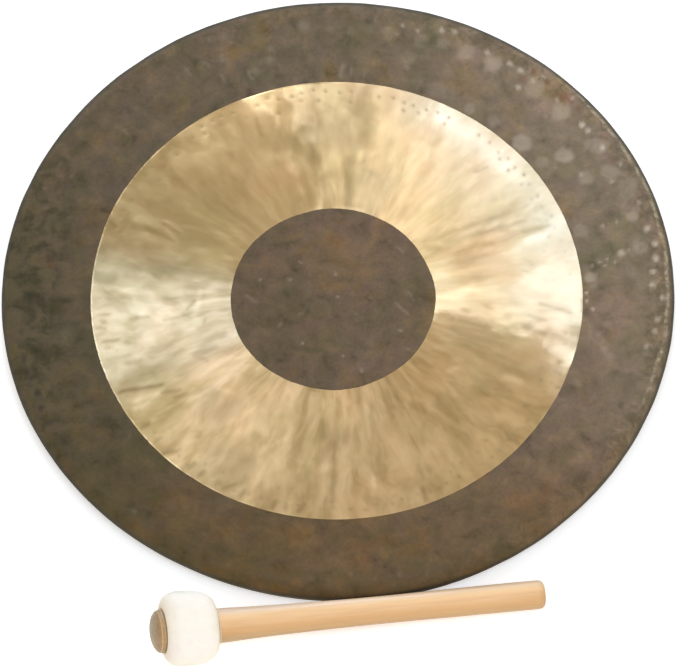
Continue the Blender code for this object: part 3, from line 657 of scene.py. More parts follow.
def oxide_material():
    mat, nt, sh = new_material("bronze_oxide")
    pos, x, y, r, a = polar(nt)
    huge = noise_tex(nt, pos, 11, 2, 0.5, 0.3)
    big = noise_tex(nt, pos, 30, 3, 0.55, 0.5)
    mid = noise_tex(nt, pos, 85, 4, 0.6, 0.35)
    fine = noise_tex(nt, pos, 520, 3, 0.6)
    # purplish grey, olive and brown patches
    base = ramp(nt, big.outputs["Fac"], [(0.30, (0.109, 0.0875, 0.050)), (0.42, (0.125, 0.0945, 0.057)),
                                         (0.53, (0.131, 0.095, 0.062)), (0.63, (0.146, 0.104, 0.058)), (0.74, (0.158, 0.102, 0.044))])
    tint = ramp(nt, huge.outputs["Fac"], [(0.34, (0.95, 0.97, 0.90)), (0.50, (1, 1, 1)), (0.66, (1.06, 1.02, 0.99))])
    colour = mix_colour(nt, 1.0, base.outputs["Color"], tint.outputs["Color"], "MULTIPLY")
    spots = ramp(nt, mid.outputs["Fac"], [(0.26, (0.52, 0.54, 0.46)), (0.40, (0.86, 0.87, 0.84)), (0.52, (1.0, 1.0, 1.0)), (0.64, (1.15, 1.12, 1.08)), (0.78, (1.48, 1.38, 1.25))])
    colour = mix_colour(nt, 0.9, colour, spots.outputs["Color"], "MULTIPLY")
    hue = ramp(nt, noise_tex(nt, pos, 52, 2, 0.5, 0.6).outputs["Fac"], [(0.32, (0.97, 1.0, 0.93)), (0.48, (1, 1, 1)), (0.58, (1.0, 0.985, 1.06)), (0.70, (1.05, 1.0, 0.90))])
    colour = mix_colour(nt, 1.0, colour, hue.outputs["Color"], "MULTIPLY")
    grain = ramp(nt, fine.outputs["Fac"], [(0.25, (0.88, 0.88, 0.88)), (0.5, (1, 1, 1)), (0.8, (1.10, 1.09, 1.06))])
    colour = mix_colour(nt, 1.0, colour, grain.outputs["Color"], "MULTIPLY")
    # the patina is darker and greener to the left and lighter to the upper right, partly real patina and partly
    # painted shade and sheen of the light from the right; it is browner to the front
    lean = math_node(nt, "ADD", math_node(nt, "MULTIPLY", x, 2.35), math_node(nt, "MULTIPLY", y, 0.75))
    tone = ramp(nt, map_range(nt, lean, -0.46, 0.46, 0, 1), [(0.0, (0.70, 0.72, 0.58)), (0.35, (0.96, 0.95, 0.88)), (0.6, (1.08, 1.08, 1.08)), (1.0, (1.80, 1.80, 1.88))])
    tone.color_ramp.interpolation = "EASE"
    colour = mix_colour(nt, 1.0, colour, tone.outputs["Color"], "MULTIPLY")
    behind = map_range(nt, y, 0.09, 0.17, 0.0, 1.0, smooth=True)
    colour = mix_colour(nt, behind, colour, mix_colour(nt, 1.0, colour, (1.10, 1.08, 1.03), "MULTIPLY"))
    front = map_range(nt, y, -0.07, -0.17, 0.0, 1.0, smooth=True)
    colour = mix_colour(nt, front, colour, mix_colour(nt, 1.0, colour, (1.10, 0.96, 0.76), "MULTIPLY"))
    # stains: brown ones in front, dark green ones at the left edge
    stain = map_range(nt, noise_tex(nt, pos, 38, 3, 0.6, 0.7).outputs["Fac"], 0.50, 0.68, 0.0, 0.8, smooth=True)
    colour = mix_colour(nt, math_node(nt, "MULTIPLY", stain, front), colour, mix_colour(nt, 1.0, colour, (1.10, 0.96, 0.74), "MULTIPLY"))
    far_left = math_node(nt, "MULTIPLY", map_range(nt, x, -0.150, -0.178, 0.0, 1.0, smooth=True), map_range(nt, mid.outputs["Fac"], 0.40, 0.56, 0.65, 0.0, smooth=True))
    colour = mix_colour(nt, far_left, colour, mix_colour(nt, 1.0, colour, (0.52, 0.60, 0.44), "MULTIPLY"))
    # and coarser blotches to the front and right
    blotch = ramp(nt, noise_tex(nt, pos, 62, 4, 0.6, 0.5).outputs["Fac"], [(0.30, (0.90, 0.905, 0.90)), (0.50, (1, 1, 1)), (0.70, (1.10, 1.095, 1.08))])
    coarse = math_node(nt, "MULTIPLY", map_range(nt, math_node(nt, "COSINE", math_node(nt, "SUBTRACT", a, math.radians(-40))), -0.30, 0.40, 0.0, 1.0, smooth=True),
                       map_range(nt, r, 0.10, 0.14, 0.3, 1.0))
    colour = mix_colour(nt, coarse, colour, mix_colour(nt, 1.0, colour, blotch.outputs["Color"], "MULTIPLY"))
    middle = map_range(nt, r, 0.075, 0.05, 0.0, 1.0, smooth=True)
    colour = mix_colour(nt, middle, colour, mix_colour(nt, 1.0, colour, (1.10, 1.02, 0.96), "MULTIPLY"))
    # brown and green scale near the shoulder
    span = nt.nodes.new("ShaderNodeAttribute")
    span.attribute_name = "span"
    span = span.outputs["Fac"]
    scale_n = noise_tex(nt, pos, 120, 4, 0.65, 0.8)
    near_edge = map_range(nt, span, 0.180, 0.191, 0.0, 1.0, smooth=True)
    scale_f = math_node(nt, "MULTIPLY", near_edge, map_range(nt, scale_n.outputs["Fac"], 0.44, 0.62, 0.0, 0.55, smooth=True))
    colour = mix_colour(nt, scale_f, colour, (0.100, 0.076, 0.034))
    # painted shade: the outermost part of the shoulder is darkened where it turns from the light; inside it, on the
    # right, a wandering pale line is a painted highlight
    around = nt.nodes.new("ShaderNodeCombineXYZ")
    nt.links.new(math_node(nt, "COSINE", a), around.inputs[0])
    nt.links.new(math_node(nt, "SINE", a), around.inputs[1])
    wander = noise_tex(nt, around.outputs[0], 9, 3, 0.6)
    off = math_node(nt, "SUBTRACT", span, map_range(nt, wander.outputs["Fac"], 0.3, 0.7, 0.1948, 0.1970))
    line = math_node(nt, "MULTIPLY", map_range(nt, math_node(nt, "ABSOLUTE", off), 0.0003, 0.0018, 1.0, 0.0, smooth=True),
                     map_range(nt, math_node(nt, "COSINE", math_node(nt, "SUBTRACT", a, 0.24)), 0.76, 0.90, 0.0, 1.0, smooth=True))
    breaks = noise_tex(nt, pos, 230, 4, 0.65)
    line = math_node(nt, "MULTIPLY", line, map_range(nt, breaks.outputs["Fac"], 0.42, 0.58, 0.10, 0.95))
    colour = mix_colour(nt, line, colour, (0.40, 0.33, 0.215))
    # the painted shade on the shoulder's outer part, as marked in the gong's mesh
    low = nt.nodes.new("ShaderNodeAttribute")
    low.attribute_name = "work_and_shade"
    shoulder_shade_sep = nt.nodes.new("ShaderNodeSeparateColor")
    nt.links.new(low.outputs["Color"], shoulder_shade_sep.inputs[0])
    colour = mix_colour(nt, math_node(nt, "MULTIPLY", shoulder_shade_sep.outputs[2], 0.78), colour, (0.045, 0.043, 0.028))
    wear_and_glint = nt.nodes.new("ShaderNodeAttribute")
    wear_and_glint.attribute_name = "wear_and_glint"
    sep = nt.nodes.new("ShaderNodeSeparateColor")
    nt.links.new(wear_and_glint.outputs["Color"], sep.inputs[0])
    light, dark, rust = sep.outputs[0], sep.outputs[1], sep.outputs[2]
    colour = mix_colour(nt, math_node(nt, "MULTIPLY", rust, 0.75), colour, (0.185, 0.072, 0.026))
    colour = mix_colour(nt, math_node(nt, "MULTIPLY", dark, 0.62), colour, (0.028, 0.026, 0.016))
    patchy = map_range(nt, mid.outputs["Fac"], 0.25, 0.75, 0.70, 1.1)
    colour = mix_colour(nt, math_node(nt, "MULTIPLY", light, patchy, clamp=True), colour, (0.50, 0.41, 0.30))
    nt.links.new(colour, sh.inputs["Base Color"])
    nt.links.new(map_range(nt, span, 0.1915, 0.1950, 0.35, 0.0, smooth=True), sh.inputs["Metallic"])
    rough = map_range(nt, mid.outputs["Fac"], 0.3, 0.7, 0.60, 0.48)
    rough = math_node(nt, "ADD", rough, map_range(nt, span, 0.1915, 0.1960, 0.0, 0.28, smooth=True))
    nt.links.new(math_node(nt, "SUBTRACT", rough, math_node(nt, "MULTIPLY", light, 0.12)), sh.inputs["Roughness"])
    sh.inputs["Specular IOR Level"].default_value = 0.20
    bump = nt.nodes.new("ShaderNodeBump")
    bump.inputs["Strength"].default_value = 0.30
    bump.inputs["Distance"].default_value = 0.0004
    height = math_node(nt, "ADD", mid.outputs["Fac"], math_node(nt, "MULTIPLY", fine.outputs["Fac"], 0.30))
    nt.links.new(height, bump.inputs["Height"])
    nt.links.new(bump.outputs["Normal"], sh.inputs["Normal"])
    return mat


def vec_math(nt, op, a, b=None, scale=None):
    n = nt.nodes.new("ShaderNodeVectorMath")
    n.operation = op
    for i, v in enumerate((a, b)):
        if v is None:
            continue
        if isinstance(v, tuple):
            n.inputs[i].default_value = v
        else:
            nt.links.new(v, n.inputs[i])
    if scale is not None:
        if isinstance(scale, (int, float)):
            n.inputs["Scale"].default_value = scale
        else:
            nt.links.new(scale, n.inputs["Scale"])
    return n.outputs[0]


def gold_material():
    mat, nt, sh = new_material("bronze_scraped")
    pos, x, y, r, a = polar(nt)
    ca, sa = math_node(nt, "COSINE", a), math_node(nt, "SINE", a)

    def along_radius(around, along, warp_scale, warp, detail, rough):
        """Noise drawn out along the radius, bent by a slow wander."""
        w = noise_tex(nt, pos, warp_scale, 2, 0.5)
        shift = vec_math(nt, "SCALE", vec_math(nt, "SUBTRACT", w.outputs["Color"], (0.5, 0.5, 0.5)), scale=warp)
        comb = nt.nodes.new("ShaderNodeCombineXYZ")
        nt.links.new(math_node(nt, "MULTIPLY", ca, around), comb.inputs[0])
        nt.links.new(math_node(nt, "MULTIPLY", sa, around), comb.inputs[1])
        nt.links.new(math_node(nt, "MULTIPLY", r, along), comb.inputs[2])
        return noise_tex(nt, vec_math(nt, "ADD", comb.outputs[0], shift), 1.0, detail, rough).outputs["Fac"]

    stroke = along_radius(22, 52, 34, 2.4, 2, 0.45)
    hair = along_radius(95, 110, 40, 4.0, 3, 0.6)
    direction = along_radius(20, 45, 30, 1.5, 1, 0.5)
    cloud = noise_tex(nt, pos, 26, 3, 0.6, 0.4).outputs["Fac"]
    base = ramp(nt, stroke, [(0.25, (0.67, 0.492, 0.252)), (0.50, (0.70, 0.52, 0.270)), (0.75, (0.73, 0.55, 0.290))])
    tint = ramp(nt, cloud, [(0.30, (0.93, 0.955, 0.90)), (0.50, (1, 1, 1)), (0.70, (1.045, 0.985, 0.97))])
    colour = mix_colour(nt, 1.0, base.outputs["Color"], tint.outputs["Color"], "MULTIPLY")
    dab = along_radius(10, 38, 34, 2.2, 2, 0.45)
    dabs = ramp(nt, dab, [(0.30, (0.90, 0.88, 0.84)), (0.50, (1, 1, 1)), (0.70, (1.08, 1.09, 1.10))])
    colour = mix_colour(nt, 1.0, colour, dabs.outputs["Color"], "MULTIPLY")
    fine = ramp(nt, hair, [(0.30, (0.98, 0.98, 0.975)), (0.55, (1, 1, 1)), (0.8, (1.01, 1.01, 1.015))])
    colour = mix_colour(nt, 1.0, colour, fine.outputs["Color"], "MULTIPLY")
    # painted highlight: the ring's colour is made whiter and bluer to the left and towards the right edge, where the
    # light's reflection falls
    left = map_range(nt, math_node(nt, "COSINE", math_node(nt, "SUBTRACT", a, math.radians(-171))), 0.885, 0.978, 0.0, 1.0, smooth=True)
    colour = mix_colour(nt, left, colour, mix_colour(nt, 1.0, colour, (0.87, 0.955, 1.08), "MULTIPLY"))
    toward = math_node(nt, "ADD", math_node(nt, "MULTIPLY", x, 0.9), math_node(nt, "MULTIPLY", y, 0.5))
    right = map_range(nt, toward, 0.070, 0.120, 0.0, 1.0, smooth=True)
    colour = mix_colour(nt, right, colour, mix_colour(nt, 1.0, colour, (1.0, 1.075, 1.30), "MULTIPLY"))
    # painted highlight: whiter and bluer again at the upper right edge
    at_edge = math_node(nt, "MULTIPLY", map_range(nt, r, 0.112, 0.136, 0.0, 1.0, smooth=True),
                        map_range(nt, math_node(nt, "COSINE", math_node(nt, "SUBTRACT", a, math.radians(44))), 0.82, 0.93, 0.0, 1.0, smooth=True))
    colour = mix_colour(nt, at_edge, colour, mix_colour(nt, 1.0, colour, (1.02, 1.11, 1.24), "MULTIPLY"))
    # broad pale and dark strokes over the front and left
    toward_front = math_node(nt, "COSINE", math_node(nt, "SUBTRACT", a, math.radians(-112)))
    worked = map_range(nt, toward_front, -0.15, 0.40, 0.25, 1.0, smooth=True)
    broad = ramp(nt, along_radius(12, 34, 28, 2.2, 2, 0.5), [(0.32, (0.80, 0.78, 0.73)), (0.46, (0.97, 0.965, 0.95)), (0.56, (1.03, 1.035, 1.05)), (0.68, (1.15, 1.16, 1.22))])
    colour = mix_colour(nt, worked, colour, mix_colour(nt, 1.0, colour, broad.outputs["Color"], "MULTIPLY"))
    # the front is a little paler; the back left is painted a good deal darker up to a sharp edge, painted shade where
    # the ring reflects little light
    ahead = map_range(nt, math_node(nt, "COSINE", math_node(nt, "SUBTRACT", a, math.radians(-120))), 0.35, 0.80, 0.0, 1.0, smooth=True)
    colour = mix_colour(nt, ahead, colour, mix_colour(nt, 1.0, colour, (1.07, 1.09, 1.16), "MULTIPLY"))
    ragged = math_node(nt, "ADD", a, map_range(nt, along_radius(5, 60, 30, 1.5, 2, 0.6), 0.3, 0.7, -0.030, 0.030))
    deep = math_node(nt, "MULTIPLY", map_range(nt, ragged, 2.10, 2.55, 0.0, 1.0, smooth=True), map_range(nt, math_node(nt, "SUBTRACT", ragged, map_range(nt, r, 0.090, 0.135, 0.0, 0.055)), 2.985, 3.045, 1.0, 0.0, smooth=True))
    deep = math_node(nt, "MULTIPLY", deep, map_range(nt, r, 0.060, 0.105, 0.45, 1.0))
    colour = mix_colour(nt, deep, colour, mix_colour(nt, 1.0, colour, (0.80, 0.815, 0.775), "MULTIPLY"))
    # patches set lighter or darker in tone: angle, half-widths, radius from-to, tone
    uneven = math_node(nt, "ADD", r, map_range(nt, dab, 0.3, 0.7, -0.005, 0.005))
    for angle, full, none, r0, r1, r2, r3, tone in (
        (14, 6, 14, 0.062, 0.074, 0.104, 0.120, (0.87, 0.77, 0.68)),
        (91, 8, 14, 0.088, 0.110, 0.200, 0.201, (0.77, 0.78, 0.80)),
        (107, 4, 10, 0.112, 0.126, 0.200, 0.201, (1.28, 1.28, 1.32)),
        (77, 6, 12, 0.114, 0.128, 0.200, 0.201, (0.84, 0.80, 0.78)),
        (76, 7, 15, 0.010, 0.011, 0.084, 0.098, (0.82, 0.82, 0.84)),
        (195, 5, 12, 0.010, 0.011, 0.080, 0.096, (0.86, 0.84, 0.82)),
        (212, 5, 12, 0.010, 0.011, 0.088, 0.106, (1.25, 1.28, 1.42)),
        (270, 4, 10, 0.010, 0.011, 0.084, 0.098, (1.26, 1.27, 1.30)),
        (211, 5, 12, 0.110, 0.124, 0.200, 0.201, (0.78, 0.77, 0.70)),
        (164, 5, 12, 0.082, 0.100, 0.200, 0.201, (0.87, 0.87, 0.86)),
        (226, 4, 9, 0.088, 0.098, 0.110, 0.120, (0.86, 0.87, 0.90)),
        (240, 4, 9, 0.114, 0.124, 0.200, 0.201, (0.85, 0.85, 0.84)),
    ):
        here = map_range(nt, math_node(nt, "COSINE", math_node(nt, "SUBTRACT", ragged, math.radians(angle))),
                         math.cos(math.radians(none)), math.cos(math.radians(full)), 0.0, 1.0, smooth=True)
        here = math_node(nt, "MULTIPLY", here, map_range(nt, uneven, r0, r1, 0.0, 1.0, smooth=True))
        here = math_node(nt, "MULTIPLY", here, map_range(nt, uneven, r2, r3, 1.0, 0.0, smooth=True))
        colour = mix_colour(nt, here, colour, mix_colour(nt, 1.0, colour, tone, "MULTIPLY"))
    work_and_shade = nt.nodes.new("ShaderNodeAttribute")
    work_and_shade.attribute_name = "work_and_shade"
    # painted highlight: the scraped edge is made paler in a thin broken line to the left, where it catches the light
    breaks = map_range(nt, noise_tex(nt, pos, 260, 2, 0.6).outputs["Fac"], 0.38, 0.58, 0.15, 1.0, smooth=True)
    painted_edge_glint = math_node(nt, "MULTIPLY", map_range(nt, work_and_shade.outputs["Alpha"], 0.14, 0.30, 1.0, 0.0, smooth=True),
                    map_range(nt, math_node(nt, "COSINE", math_node(nt, "SUBTRACT", a, math.radians(187))), 0.50, 0.75, 0.0, 1.0, smooth=True))
    colour = mix_colour(nt, math_node(nt, "MULTIPLY", painted_edge_glint, breaks), colour, mix_colour(nt, 1.0, colour, (1.34, 1.40, 1.60), "MULTIPLY"))
    strokes = nt.nodes.new("ShaderNodeSeparateColor")
    nt.links.new(work_and_shade.outputs["Color"], strokes.inputs[0])
    colour = mix_colour(nt, strokes.outputs[0], colour, mix_colour(nt, 1.0, colour, (1.28, 1.32, 1.46), "MULTIPLY"))
    colour = mix_colour(nt, strokes.outputs[1], colour, mix_colour(nt, 1.0, colour, (0.60, 0.57, 0.50), "MULTIPLY"))
    wear_and_glint = nt.nodes.new("ShaderNodeAttribute")
    wear_and_glint.attribute_name = "wear_and_glint"
    pit = wear_and_glint.outputs["Alpha"]
    colour = mix_colour(nt, math_node(nt, "MULTIPLY", pit, 0.36), colour, (0.31, 0.262, 0.15))
    nt.links.new(colour, sh.inputs["Base Color"])
    sh.inputs["Metallic"].default_value = 1.0
    rough = map_range(nt, stroke, 0.3, 0.7, 0.325, 0.285)
    nt.links.new(math_node(nt, "ADD", rough, math_node(nt, "MULTIPLY", pit, 0.15)), sh.inputs["Roughness"])
    sh.inputs["Anisotropic"].default_value = 0.95
    bump = nt.nodes.new("ShaderNodeBump")
    bump.inputs["Strength"].default_value = 0.06
    bump.inputs["Distance"].default_value = 0.00022
    nt.links.new(math_node(nt, "ADD", stroke, math_node(nt, "MULTIPLY", hair, 0.30)), bump.inputs["Height"])
    # the strokes run outward from the ring's own centre
    tx, ty = math_node(nt, "SUBTRACT", x, SCRAPE_C[0]), math_node(nt, "SUBTRACT", y, SCRAPE_C[1])
    comb = nt.nodes.new("ShaderNodeCombineXYZ")
    nt.links.new(math_node(nt, "MULTIPLY", ty, -1.0), comb.inputs[0])
    nt.links.new(tx, comb.inputs[1])
    tangent = vec_math(nt, "NORMALIZE", comb.outputs[0])
    # the scraper's burr leans every stroke a little the same way round
    leaned = vec_math(nt, "ADD", bump.outputs["Normal"], vec_math(nt, "SCALE", tangent, scale=LEAN))
    # each stroke is a facet that tips a little in or out
    outward = nt.nodes.new("ShaderNodeCombineXYZ")
    nt.links.new(tx, outward.inputs[0])
    nt.links.new(ty, outward.inputs[1])
    facet = along_radius(11, 36, 30, 2.2, 1, 0.5)
    tip = map_range(nt, facet, 0.34, 0.66, -0.018, 0.018, smooth=True)
    # to the right, below a sharp wavy edge, the scraper came in from the other side
    bound = math_node(nt, "ADD", map_range(nt, r, 0.062, 0.130, math.radians(-10.8), math.radians(-16.2)), map_range(nt, r, 0.130, 0.148, 0.0, math.radians(-11.0)))
    bound = math_node(nt, "ADD", bound, map_range(nt, along_radius(9, 70, 60, 1.5, 3, 0.6), 0.3, 0.7, math.radians(-3.0), math.radians(3.0)))
    below = math_node(nt, "SUBTRACT", bound, a)
    below = math_node(nt, "MULTIPLY", below, map_range(nt, r, 0.118, 0.138, 1.0, 0.35))
    beyond = math_node(nt, "MULTIPLY", map_range(nt, below, 0.0, math.radians(1.6), 0.0, 1.0, smooth=True), map_range(nt, below, math.radians(22), math.radians(42), 1.0, 0.0, smooth=True))
    tip = math_node(nt, "ADD", tip, math_node(nt, "MULTIPLY", beyond, 0.050))
    above = math_node(nt, "MULTIPLY", map_range(nt, below, math.radians(-1.6), 0.0, 1.0, 0.0, smooth=True), map_range(nt, below, math.radians(-13), math.radians(-6), 0.0, 1.0, smooth=True))
    above = math_node(nt, "MULTIPLY", above, map_range(nt, r, 0.072, 0.100, 0.2, 1.0, smooth=True))
    tip = math_node(nt, "ADD", tip, math_node(nt, "MULTIPLY", above, -0.030))
    leaned = vec_math(nt, "ADD", leaned, vec_math(nt, "SCALE", vec_math(nt, "NORMALIZE", outward.outputs[0]), scale=tip))
    normal = vec_math(nt, "NORMALIZE", leaned)
    nt.links.new(normal, sh.inputs["Normal"])
    # and its scratches wander off the radius from stroke to stroke
    across = vec_math(nt, "CROSS_PRODUCT", normal, tangent)
    wander = math_node(nt, "MULTIPLY", math_node(nt, "SUBTRACT", direction, 0.5), 0.32)
    turned = vec_math(nt, "NORMALIZE", vec_math(nt, "ADD", tangent, vec_math(nt, "SCALE", across, scale=wander)))
    nt.links.new(turned, sh.inputs["Tangent"])
    return mat


LEAN = 0.085


def by_place(nt, name, lo, hi, stops):
    """Tones set by a vertex value ("along" the mallet, or "lift" to its upper side)."""
    at = nt.nodes.new("ShaderNodeAttribute")
    at.attribute_name = name
    stops = [((p - lo) / (hi - lo), c) for p, c in stops]
    return ramp(nt, map_range(nt, at.outputs["Fac"], lo, hi, 0, 1), stops).outputs["Color"]


def wood_material(name, light, dark, axis_map, rough, grain_depth=1.0, tones=()):
    """Wood whose grain runs along the mallet's axis."""
    mat, nt, sh = new_material(name)
    tex = nt.nodes.new("ShaderNodeTexCoord")
    mapping = nt.nodes.new("ShaderNodeMapping")
    mapping.inputs["Rotation"].default_value = axis_map
    nt.links.new(tex.outputs["Object"], mapping.inputs["Vector"])
    stretch = nt.nodes.new("ShaderNodeMapping")
    stretch.inputs["Scale"].default_value = (26.0, 420.0, 420.0)
    nt.links.new(mapping.outputs[0], stretch.inputs["Vector"])
    grain = noise_tex(nt, stretch.outputs[0], 1.0, 4, 0.6, 0.5)
    broad = nt.nodes.new("ShaderNodeMapping")
    broad.inputs["Scale"].default_value = (7.0, 95.0, 95.0)
    nt.links.new(mapping.outputs[0], broad.inputs["Vector"])
    bands = noise_tex(nt, broad.outputs[0], 1.0, 3, 0.5, 0.8)
    c = ramp(nt, grain.outputs["Fac"], [(0.30, dark), (0.55, light), (0.80, tuple(min(1, v * 1.04) for v in light))])
    d = ramp(nt, bands.outputs["Fac"], [(0.3, (0.86, 0.82, 0.76)), (0.52, (1, 1, 1)), (0.75, (1.04, 1.03, 1.02))])
    colour = mix_colour(nt, grain_depth, c.outputs["Color"], mix_colour(nt, 1.0, c.outputs["Color"], d.outputs["Color"], "MULTIPLY"))
    for tone in tones:
        colour = mix_colour(nt, 1.0, colour, by_place(nt, *tone), "MULTIPLY")
    nt.links.new(colour, sh.inputs["Base Color"])
    nt.links.new(map_range(nt, grain.outputs["Fac"], 0.3, 0.7, rough + 0.08, rough - 0.06), sh.inputs["Roughness"])
    bump = nt.nodes.new("ShaderNodeBump")
    bump.inputs["Strength"].default_value = 0.25
    bump.inputs["Distance"].default_value = 0.0002
    nt.links.new(grain.outputs["Fac"], bump.inputs["Height"])
    nt.links.new(bump.outputs["Normal"], sh.inputs["Normal"])
    return mat


def felt_material(name, colour, sheen, tones=(), painted_glow=None):
    mat, nt, sh = new_material(name)
    tex = nt.nodes.new("ShaderNodeTexCoord")
    fuzz = noise_tex(nt, tex.outputs["Object"], 1500, 4, 0.7)
    lumps = noise_tex(nt, tex.outputs["Object"], 190, 3, 0.6, 0.4)
    c = ramp(nt, lumps.outputs["Fac"], [(0.30, tuple(v * 0.97 for v in colour)), (0.6, colour), (0.8, tuple(min(1, v * 1.02) for v in colour))])
    d = ramp(nt, fuzz.outputs["Fac"], [(0.25, (0.965, 0.96, 0.955)), (0.6, (1, 1, 1)), (0.8, (1.02, 1.02, 1.02))])
    shade = mix_colour(nt, 1.0, c.outputs["Color"], d.outputs["Color"], "MULTIPLY")
    for tone in tones:
        shade = mix_colour(nt, 1.0, shade, by_place(nt, *tone), "MULTIPLY")
    nt.links.new(shade, sh.inputs["Base Color"])
    if painted_glow:
        # painted glow: an emission that brightens the pile; it is no lamp
        nt.links.new(mix_colour(nt, 1.0, shade, painted_glow, "MULTIPLY"), sh.inputs["Emission Color"])
        sh.inputs["Emission Strength"].default_value = 1.0
    nt.links.new(map_range(nt, fuzz.outputs["Fac"], 0.3, 0.7, 0.98, 0.86), sh.inputs["Roughness"])
    sh.inputs["Sheen Weight"].default_value = sheen
    sh.inputs["Sheen Roughness"].default_value = 0.5
    bump = nt.nodes.new("ShaderNodeBump")
    bump.inputs["Strength"].default_value = 0.35
    bump.inputs["Distance"].default_value = 0.0005
    nt.links.new(math_node(nt, "ADD", fuzz.outputs["Fac"], math_node(nt, "MULTIPLY", lumps.outputs["Fac"], 1.4)), bump.inputs["Height"])
    nt.links.new(bump.outputs["Normal"], sh.inputs["Normal"])
    return mat


# ---------------------------------------------------------------- mallet
def mallet_frame():
    """World matrix whose -Z runs from the cap's tip along the mallet."""
    head_s, floor_gap, gap = 0.0225, 0.0002, 0.0004
    run = MALLET_LENGTH - 0.0024 - head_s
    pitch = math.asin((HEAD_R - END_R) / run)
    head_z = floor_gap + HEAD_R * math.cos(pitch)
    flat = Vector((math.cos(MALLET_YAW), math.sin(MALLET_YAW), 0.0))
    way = flat * math.cos(pitch) - Vector((0, 0, 1)) * math.sin(pitch)
    tip_z = head_z + head_s * math.sin(pitch)
    side = Vector((flat.y, -flat.x, 0.0))
    ring_r = GONG_R - SHOULDER
    tip_y = GONG_Y - GONG_R
    for _ in range(12):
        tip = Vector((MALLET_TIP_X, tip_y, 0.0))
        run_here = (Vector((0, GONG_Y, 0)) - tip).dot(flat)
        z_here = tip_z - run_here * math.tan(pitch)
        rise = abs(z_here - (FACE_Z - SHOULDER))
        reach = math.sqrt((0.0083 + SHOULDER + gap) ** 2 - rise**2)
        distance = (tip - Vector((0, GONG_Y, 0))).dot(side)
        tip_y += (ring_r + reach - distance) / side.y
    q = Vector((0, 0, 1)).rotation_difference(-way)
    return Matrix.Translation(Vector((MALLET_TIP_X, tip_y, tip_z))) @ q.to_matrix().to_4x4(), way


MALLET, WAY = mallet_frame()


def spline(knots, count):
    """count + 1 points on a smooth line through (s, radius) knots, evenly along its length."""
    k = np.array(knots, float)
    d = np.r_[0, np.cumsum(np.hypot(*np.diff(k, axis=0).T))]
    fine = []
    for i in range(len(k) - 1):
        p0, p1, p2, p3 = k[max(i - 1, 0)], k[i], k[i + 1], k[min(i + 2, len(k) - 1)]
        for t in np.linspace(0, 1, 24, endpoint=False):
            fine.append(0.5 * ((2 * p1) + (-p0 + p2) * t + (2 * p0 - 5 * p1 + 4 * p2 - p3) * t**2 + (-p0 + 3 * p1 - 3 * p2 + p3) * t**3))
    fine.append(k[-1])
    fine = np.array(fine)
    d = np.r_[0, np.cumsum(np.hypot(*np.diff(fine, axis=0).T))]
    at = np.linspace(0, d[-1], count + 1)
    return [(float(np.interp(v, d, fine[:, 0])), float(np.interp(v, d, fine[:, 1]))) for v in at]


def lathe(name, profile, steps, closed):
    """A closed turned mesh from (s, radius) points down its outer side."""
    verts, faces = [], []
    index = []
    for s, r in profile:
        if r < 1e-7:
            index.append([len(verts)])
            verts.append((0.0, 0.0, -s))
        else:
            index.append(list(range(len(verts), len(verts) + steps)))
            for i in range(steps):
                a = math.tau * i / steps
                verts.append((r * math.cos(a), r * math.sin(a), -s))
    pairs = list(zip(index, index[1:])) + ([(index[-1], index[0])] if closed else [])
    for a, b in pairs:
        for i in range(steps):
            j = (i + 1) % steps
            if len(a) == 1 and len(b) == 1:
                continue
            if len(a) == 1:
                faces.append((a[0], b[i], b[j]))
            elif len(b) == 1:
                faces.append((a[i], b[0], a[j]))
            else:
                faces.append((a[i], b[i], b[j], a[j]))
    mesh = bpy.data.meshes.new(name)
    mesh.from_pydata(verts, [], faces)
    mesh.validate()
    mesh.shade_smooth()
    obj = bpy.data.objects.new(name, mesh)
    bpy.context.scene.collection.objects.link(obj)
    return obj


SIGHT_SIDE = Vector((0, -math.cos(math.radians(62.05)), math.sin(math.radians(62.05))))
UPPER = Vector((0, math.sin(math.radians(62.05)), math.cos(math.radians(62.05))))
UPPER = (UPPER - UPPER.dot(WAY) * WAY).normalized()


def askew(co):
    """The cap was put on a little crooked: it and the cover's front tip the same way."""
    local = MALLET.to_3x3().inverted() @ SIGHT_SIDE
    s = -co[:, 2]
    w = 1 - smoothstep(0.0105, 0.0220, s)
    co[:, 2] -= 0.10 * (co[:, 0] * local.x + co[:, 1] * local.y) * w
    return co


def place(obj, replaces, mat, angle=None):
    mesh = obj.data
    if "along" not in mesh.attributes:
        mesh.attributes.new("along", "FLOAT", "POINT").data.foreach_set("value", [-v.co.z for v in mesh.vertices])
    obj.data.transform(MALLET)
    tip = MALLET.translation
    mesh.attributes.new("lift", "FLOAT", "POINT").data.foreach_set("value", [(v.co - tip).dot(UPPER) for v in mesh.vertices])
    obj.data.materials.append(mat)
    if angle:
        obj.data.set_sharp_from_angle(angle=math.radians(angle))
    obj.data.update()
    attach(obj, "mallet")
    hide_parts(*replaces)
    return obj


